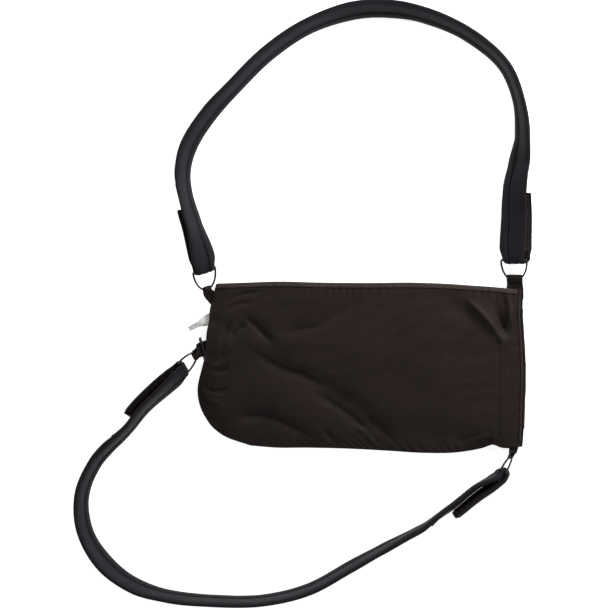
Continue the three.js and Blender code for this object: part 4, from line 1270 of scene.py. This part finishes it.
@dataclass
class Strap:
    """A padded strap between two rings, folded back at both."""

    name: str
    start: StrapEnd
    finish: StrapEnd
    rise: float  # mm from the line of its rings to its furthest point
    along: tuple[float, ...]  # middle line, as shares of the way between its rings
    out: tuple[float, ...]  # and of its rise
    lean: tuple[float, ...]  # degrees
    steps: int = 1600
    station: float = 1.9  # mm between the run's stations
    flap_steps: int = 75
    closing: float = 45.0  # mm past a flap over which the layers close
    pleat: float = 0.26  # mm of the pleats' height beside a ring
    pleats: float = 3.5
    ripple: float = 0.09  # mm of the padding's unevenness
    pressed: float = 0.45  # share of the thickness at a flap's sewn edge
    press_reach: float = 5.5  # mm
    lowest: float = 0.05  # mm over the floor

    def __post_init__(self) -> None:
        """Works out the middle line from ring to ring, with its leans.

        The line is a centripetal spline through the rings' bars, a point ahead of each, and
        the route's points. The lean eases from each point to the next.
        """
        ends = (self.start, self.finish)
        bars = [end.bar[:2] for end in ends]
        span = bars[1] - bars[0]
        side = unit(np.array([-span[1], span[0]]))
        route = bars[0] + np.outer(self.along, span) + np.outer(self.out, side) * self.rise
        ahead = [end.bar[:2] + end.axis[:2] * end.ahead for end in ends]
        knots = np.vstack([bars[0], ahead[0], route, ahead[1], bars[1]])
        leans = np.array([self.start.lean] * 2 + list(self.lean) + [self.finish.lean] * 2, float)
        place = np.linspace(0, len(knots) - 1, self.steps)
        i = np.minimum(place.astype(int), len(knots) - 2)
        t = (place - i)[:, None]
        self.line = self.spline(knots, i, t)
        self.leans = mix(leans[i], leans[i + 1], smooth(t[:, 0], 0, 1))
        self.away = distances(self.line)
        self.length = float(self.away[-1])

    @staticmethod
    def spline(knots: Array, i: Array, t: Array) -> Array:
        """Centripetal spline: the time between two knots is the root of their distance."""
        full = np.vstack([2 * knots[0] - knots[1], knots, 2 * knots[-1] - knots[-2]])
        p0, p1, p2, p3 = p = [full[i + k] for k in range(4)]
        d0, d1, d2 = (np.sqrt(np.linalg.norm(p[k + 1] - p[k], axis=1, keepdims=True)) for k in range(3))
        m1 = ((p1 - p0) / d0 - (p2 - p0) / (d0 + d1) + (p2 - p1) / d1) * d1
        m2 = ((p2 - p1) / d1 - (p3 - p1) / (d1 + d2) + (p3 - p2) / d2) * d1
        return p1 + m1 * t + (3 * (p2 - p1) - 2 * m1 - m2) * t**2 + (2 * (p1 - p2) + m1 + m2) * t**3

    def nearer(self, away: Array, key: str) -> Array:
        """A value of the nearer ring's end at each distance along the strap."""
        return np.where(away < self.length / 2, getattr(self.start, key), getattr(self.finish, key))

    def from_ring(self, away: Array) -> Array:
        """Distance to the nearer ring."""
        return np.minimum(away, self.length - away)

    def past_flap(self, away: Array) -> Array:
        """Distance past the end of the nearer flap, below zero beside it."""
        return self.from_ring(away) - self.nearer(away, "flap") * SIZES.flap

    def offset(self, away: Array) -> Array:
        """How far the upper run lies from the rings' plane, closing past the flap."""
        return SIZES.flap_offset * (1 - smooth(self.past_flap(away), 3, self.closing))

    def splay(self, away: Array) -> Array:
        """Degrees by which the flap stands open from the run."""
        opening = smooth(self.from_ring(away), 0, 0.4 * SIZES.flap)
        return self.nearer(away, "splay") * opening * (1 - smooth(self.past_flap(away), 0, self.closing))

    def spine(self, away: Array) -> tuple[Array, Array]:
        """Points of the middle line with their heights, and their leans.

        A strap rests on its lower edge. Beside a ring it also follows the ring's pitch, which
        dies away over 10 mm, and meets the bar's height.
        """
        near = self.from_ring(away)
        lean = np.interp(away, self.away, self.leans)
        pitch, end_lean, bar = (self.nearer(away, key) for key in ("pitch", "lean", "bar_height"))
        hump = np.tan(np.radians(pitch)) * near * np.exp(-near / 10)
        held = (bar - SIZES.resting(end_lean, SIZES.flap_offset, 0.0)) * bump(near, 22)
        z = SIZES.resting(lean, self.offset(away), self.splay(away)) + hump + held
        return raised(read_rows(away, self.away, self.line), z), lean

    def tangent(self, away: Array) -> Array:
        """Directions of the middle line, from points half a millimetre to either side."""
        low, high = np.clip(away - 0.5, 0, None), np.clip(away + 0.5, None, self.length)
        return self.spine(high)[0] - self.spine(low)[0]

    def layer(self, away: Array, layer: int) -> dict[str, Array]:
        """Stations of the upper run or of a folded-back flap.

        Both lie beside the strap's middle line, apart by the turn round the ring's bar, and the
        splay turns them away from each other about their lower edge.

        Args:
            away: Distances along the strap.
            layer: 1 for the run, -1 for a flap.

        Returns:
            Centre, width and face directions, width, thickness, distance from the ring, how far
            the layers stand open, and extra padding.
        """
        point, lean = self.spine(away)
        near, splay, tangent = self.from_ring(away), self.splay(away), self.tangent(away)
        skew = self.nearer(away, "skew") * (1 - 0.55 * near / SIZES.flap) * (layer < 0)
        _, middle, _ = band_axes(tangent, lean)
        _, w, n = band_axes(tangent, lean + layer * splay / 2)
        edge = point - middle * SIZES.width / 2
        return {
            "centre": placed(edge, (w, n), SIZES.width / 2 + skew, layer * self.offset(away)),
            "w": w,
            "n": n * layer,
            "width": mix(SIZES.fold_width, SIZES.width, smooth(near, 1, 15)),
            "thickness": mix(SIZES.end_thickness, SIZES.thickness, smooth(self.past_flap(away), 5, 55)),
            "near": near,
            "open": smooth(splay, 1, 7),
            "plump": self.nearer(away, "plump") * (1 - smooth(self.past_flap(away), 10, 110)),
        }

    def fold(self, start: bool) -> dict[str, Array]:
        """Stations of the turn round a ring's bar: half a circle from the flap to the run."""
        away = np.array([0.0 if start else self.length])
        row = self.layer(away, 1)
        w, n = row["w"], row["n"]
        turn = np.linspace(np.pi, 0, 20)[1:-1, None]
        face = n * np.cos(turn) + np.cross(w, n) * (-1 if start else 1) * np.sin(turn)
        aside = w * self.nearer(away, "skew") * turn / np.pi
        centre = row["centre"] + (face - n) * SIZES.flap_offset + aside
        rows = {key: np.repeat(value, len(turn), 0) for key, value in row.items()}
        return rows | {"centre": centre, "n": face}

    def stations(self) -> dict[str, Array]:
        """All stations, from the end of one flap to the end of the other."""
        flaps = [SIZES.flap * end.flap for end in (self.start, self.finish)]
        first, last = (np.linspace(0, flap, self.flap_steps + 1) for flap in flaps)
        run = np.linspace(0, self.length, int(self.length / self.station))
        parts = [
            {key: rows[::-1] for key, rows in self.layer(first, -1).items()},
            self.fold(True),
            self.layer(run, 1),
            {key: rows[::-1] for key, rows in self.fold(False).items()},
            self.layer(self.length - last, -1),
        ]
        return {key: np.concatenate([part[key] for part in parts]) for key in parts[0]}

    @staticmethod
    def across() -> Array:
        """Places across the strap, closer together at its edges and in its groove."""
        even = np.sin(np.linspace(-np.pi / 2, np.pi / 2, 27)) / 2
        return np.unique(np.round(np.r_[even, GROOVE + np.linspace(-0.07, 0.11, 11)], 4))

    @staticmethod
    def lobe(c: Array, low: float, high: float) -> Array:
        """A padded lobe's height: the root of 1 minus a steep power of the place across it."""
        return np.sqrt(np.clip(1 - np.abs((2 * c - low - high) / (high - low)) ** 3.2, 0, 1))

    def face(self, c: Array) -> Array:
        """Height of the padded face over the middle, as a share of the thickness.

        Two lobes meet in a stitched groove a third of the way from the inner edge. A narrow welt
        lies beside it.
        """
        pads = np.where(c > GROOVE, self.lobe(c, GROOVE, 0.5), 0.92 * self.lobe(c, -0.5, GROOVE))
        return -0.02 + 0.52 * pads + 0.17 * bump(c - WELT, 0.018)

    def sections(self, rows: dict[str, Array], c: Array) -> tuple[Array, Array]:
        """Offsets of the padded face and of the back at every station.

        Beside a ring the bunched cloth adds pleats, a cosine of the place across; everywhere it
        ripples slightly. Where the layers stand open, their inner faces meet at the foot.

        Args:
            rows: The stations.
            c: Places across.

        Returns:
            Heights of the padded face and of the back, stations x places.
        """
        near, thick, opened, plump = (rows[key][:, None] for key in ("near", "thickness", "open", "plump"))
        x, y = rows["centre"][:, :1], rows["centre"][:, 1:2]
        pleat = self.pleat * np.exp(-near / 13) * np.cos(2 * np.pi * self.pleats * c + near / 6)
        ripple = self.ripple * np.sin(x / 5.1 + c * 9) * np.sin(y / 6.3)
        rim = np.clip(1 - np.abs(2 * c) ** 6, 0, 1)
        top = self.face(c) * thick + (pleat + ripple) * rim
        under = (-0.2 - 0.3 * np.sqrt(rim)) * thick
        foot = opened * smooth(-c, 0.41, 0.45)
        return top * (1 + plump), mix(under, 0.1 - SIZES.flap_offset, foot)

    def end_press(self, count: int) -> Array:
        """Share of the thickness kept at each station: less over the last 5 mm of both flaps."""
        place = np.minimum(np.arange(count), np.arange(count)[::-1]) * SIZES.flap / self.flap_steps
        return mix(self.pressed, 1, smooth(place, 0.0, self.press_reach))

    def build(self) -> None:
        """Makes the strap, the thread along its welt, whose lighter colour also paints the welt's highlight,
        and its fastening tapes.
        """
        rows, c = self.stations(), self.across()
        top, under = self.sections(rows, c)
        press = self.end_press(len(top))[:, None]
        x = around(c, c) * rows["width"][:, None] * (1 - 0.03 * (1 - press))
        axes = (rows["w"][:, None], rows["n"][:, None])
        points = placed(rows["centre"][:, None], axes, x, around(under * press, top * press))
        points[..., 2] = np.maximum(points[..., 2], self.lowest)
        strap = MeshMaker(f"padded_{self.name}").band(points).build(STRAP_JERSEY, (f"{self.name}_strap",))
        seams = MeshMaker(f"{self.name}_stitches")
        self.welt_highlight_thread(seams, rows)
        self.end_threads(seams, rows)
        seams.build(STRAP_THREAD_AND_WELT_HIGHLIGHT)
        for end in (self.start, self.finish):
            part = SIZES.flap * end.flap / 8
            self.tape("loop", end, 1, (2 * part, 11 * part), LOOP_TAPE)
            self.tape("hook", end, -1, (0.8 * part, 7.7 * part), HOOK_TAPE)

    def welt_highlight_thread(self, seams: MeshMaker, rows: dict[str, Array]) -> None:
        """Stitches along the crest of the welt beside the groove, in thread lighter than the strap that also
        stands for the welt's highlight: painted highlight.
        """
        height = self.face(np.array([WELT]))[0] * rows["thickness"] * (1 + rows["plump"]) + 0.05
        line = placed(rows["centre"], (rows["w"], rows["n"]), WELT * rows["width"], height)
        add_stitches(seams, line[4:-4], rows["n"][4:-4], WELT_HIGHLIGHT_SEAM)

    def end_threads(self, seams: MeshMaker, rows: dict[str, Array]) -> None:
        """Two rows of stitches across each flap, near its end and where its tape starts."""
        c = np.linspace(-0.44, 0.44, 40)
        press = self.end_press(len(rows["near"]))
        for station in (3, 36, -4, -37):
            row = {key: value[station] for key, value in rows.items()}
            height = self.face(c) * row["thickness"] * press[station] + 0.05
            line = placed(row["centre"], (row["w"], row["n"]), c * row["width"], height)
            add_stitches(seams, line, np.broadcast_to(row["n"], (40, 3)), END_SEAM)

    def tape(self, kind: str, end: StrapEnd, layer: int, span: tuple[float, float], finish: Cloth) -> None:
        """Fastening tape on the inner face of the run or of a flap.

        Args:
            kind: The word for it in the piece's name and in its node's.
            end: The strap's end where it is sewn.
            layer: 1 on the run, -1 on the flap.
            span: Distances from the ring where it starts and ends.
            finish: Its surface.
        """
        near = np.linspace(*span, int((span[1] - span[0]) / 1.5))
        rows = self.layer(near if end is self.start else self.length - near, layer)
        inward = rows["thickness"] / 2 + CLEARANCE * 0.7 + SIZES.patch / 2
        c = np.linspace(-0.42, 0.42, 24)
        half = SIZES.patch / 2 * np.sqrt(1 - np.abs(c / 0.425) ** 12)
        x, y = np.broadcast_arrays(around(c, c) * rows["width"][:, None], around(-half, half))
        centre = placed(rows["centre"], (rows["n"],), -inward)
        points = placed(centre[:, None], (rows["w"][:, None], rows["n"][:, None]), x, y)
        MeshMaker(f"{kind}_tape_{end.name}").band(points).build(finish, (f"{kind}_patch_{end.name}",))


# Studio


@dataclass
class Studio:
    """White floor, soft light and a camera straight above."""

    height: float = 5.0  # m of the camera over the floor
    middle: tuple[float, float] = (0.0, -0.0012)
    sensor: float = 36.0  # mm
    above: float = 0.01  # m over the floor where the picture has its scale
    floor_size: float = 6.0  # m from its middle to its edges
    ambient: float = 0.32
    floor_glow: float = 0.72
    lamps: tuple[tuple[str, tuple[float, float, float], float, float], ...] = (
        ("key", (0.85, 0.7, 0.5), 0.3, 17.0),  # place and size in m, power in W
        ("left", (-0.8, 0.75, 0.5), 0.4, 6.0),
        ("low", (0.5, -0.95, 0.6), 0.5, 2.8),
    )

    def camera(self) -> None:
        """Long lens looking down; focal length = sensor width x height / shown width."""
        data = bpy.data.cameras.new("camera")
        data.sensor_width = self.sensor
        data.lens = self.sensor * (self.height - self.above) / (PHOTO_SPAN * MM)
        data.clip_end = 10 * self.height
        camera = add_object("camera", data)
        camera.location = (*self.middle, self.height)
        bpy.context.scene.camera = camera

    def floor(self) -> None:
        """A wide plain floor, so bright that it shows as pure white."""
        mesh = bpy.data.meshes.new("floor")
        size = self.floor_size
        corners = [(-size, -size, 0), (size, -size, 0), (size, size, 0), (-size, size, 0)]
        mesh.from_pydata(corners, [], [(0, 1, 2, 3)])
        tree = ShaderTree("floor_white")
        tree.fill(
            tree.shader,
            Base_Color=tree.ramp(tree.noise(3.0, 2.0), ((0.93, 0.93, 0.93), (0.95, 0.95, 0.95)), 0.3, 0.7),
            Roughness=0.9,
            Specular_IOR_Level=0.1,
            Emission_Color=(1, 1, 1, 1),
            Emission_Strength=self.floor_glow,
        )
        mesh.materials.append(tree.material)
        add_object("floor", mesh)

    def lamp(self, name: str, place: tuple[float, float, float], size: float, power: float) -> None:
        """A square soft light aimed at the object."""
        data = bpy.data.lights.new(name, "AREA")
        data.size, data.energy = size, power
        lamp = add_object(name, data)
        lamp.location = place
        tilt = np.arccos(place[2] / np.linalg.norm(place))
        lamp.rotation_euler = (0, -tilt, np.arctan2(-place[1], -place[0]))

    def build(self) -> None:
        """Sets the camera, the floor, the light and the picture's plain colour transform."""
        self.camera()
        self.floor()
        world = bpy.data.worlds.new("studio")
        world.use_nodes = True
        world.node_tree.nodes["Background"].inputs["Color"].default_value = (1, 1, 1, 1)
        world.node_tree.nodes["Background"].inputs["Strength"].default_value = self.ambient
        bpy.context.scene.world = world
        for lamp in self.lamps:
            self.lamp(*lamp)
        bpy.context.scene.view_settings.view_transform = "Standard"


# Each row: name; along, down; both headings, reach; lean, pitch, splay, skew; flap, plump, ahead,
# webbing, side
TOP_LEFT = StrapEnd("top_left", 0.036, 0.068, 132, 99, 0.48, 32, 14, 0, 0, 0.88, 0.2, 14.0, (14.0, 10.0), 1)
TOP_RIGHT = StrapEnd(
    "top_right", 0.968, 0.046, 90, 93, 0.85, 15, 10, 0, 6.5, 0.94, 0.0, 14.0, (21.0, 19.0), -1
)
BOTTOM_RIGHT = StrapEnd(
    "bottom_right", 0.964, 0.965, 262, 242, 0.75, 80, 14, 13, 0, 0.88, 1.0, 4.0, (11.0, 8.5), 1
)
SIDE = StrapEnd("side", 0.026, 0.385, 192, 226, 0.95, 60, 12, 8, 0, 0.97, 0.6, 14.0, (20.0, 15.0), -1)
ENDS = (TOP_LEFT, TOP_RIGHT, BOTTOM_RIGHT, SIDE)

SHOULDER = Strap(
    "shoulder", TOP_LEFT, TOP_RIGHT, 310.0,
    along=(-0.036, -0.057, -0.057, -0.034, 0.032, 0.113, 0.227, 0.358, 0.506,
           0.622, 0.734, 0.872, 0.986, 1.029, 1.039, 1.025, 1.013, 1.007),
    out=(0.181, 0.284, 0.4, 0.491, 0.608, 0.71, 0.839, 0.94, 0.997,
         1, 0.971, 0.891, 0.765, 0.633, 0.492, 0.369, 0.271, 0.161),
    lean=(57, 61, 60, 56, 57, 61, 61, 61, 55, 56, 62, 67, 71, 72, 64, 43, 32, 20),
)  # fmt: skip
WAIST = Strap(
    "waist", BOTTOM_RIGHT, SIDE, 268.0,
    along=(0.054, 0.104, 0.151, 0.194, 0.269, 0.34, 0.438, 0.558,
           0.693, 0.832, 0.939, 1.039, 1.121, 1.164, 1.157, 1.115, 1.079),
    out=(0.115, 0.232, 0.316, 0.382, 0.496, 0.612, 0.771, 0.884,
         0.954, 1, 1, 0.946, 0.839, 0.689, 0.525, 0.374, 0.22),
    lean=(88, 90, 88, 86, 77, 73, 73, 74, 73, 70, 61, 55, 61, 65, 68, 70, 68),
)  # fmt: skip


def main() -> None:
    """Builds the studio and the pieces in order."""
    logging.basicConfig(level=logging.INFO)
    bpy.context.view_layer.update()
    PLACE.find(OUTLINE)
    label = Label()
    sewn = [SewnIn(e.along, e.down, 2 * SIZES.webbing + CLEARANCE, 22, 42, True) for e in ENDS]
    sewn.append(SewnIn(label.along, label.down, label.thickness + CLEARANCE, 10, 24, False))
    Studio().build()
    pouch = Pouch(sewn)
    pouch.build()
    for end in ENDS:
        Tab(end).build()
        Ring(end).build()
    Slide(SIDE).build()
    label.build(pouch)
    for strap in (SHOULDER, WAIST):
        strap.build()


if __name__ == "__main__":
    main()
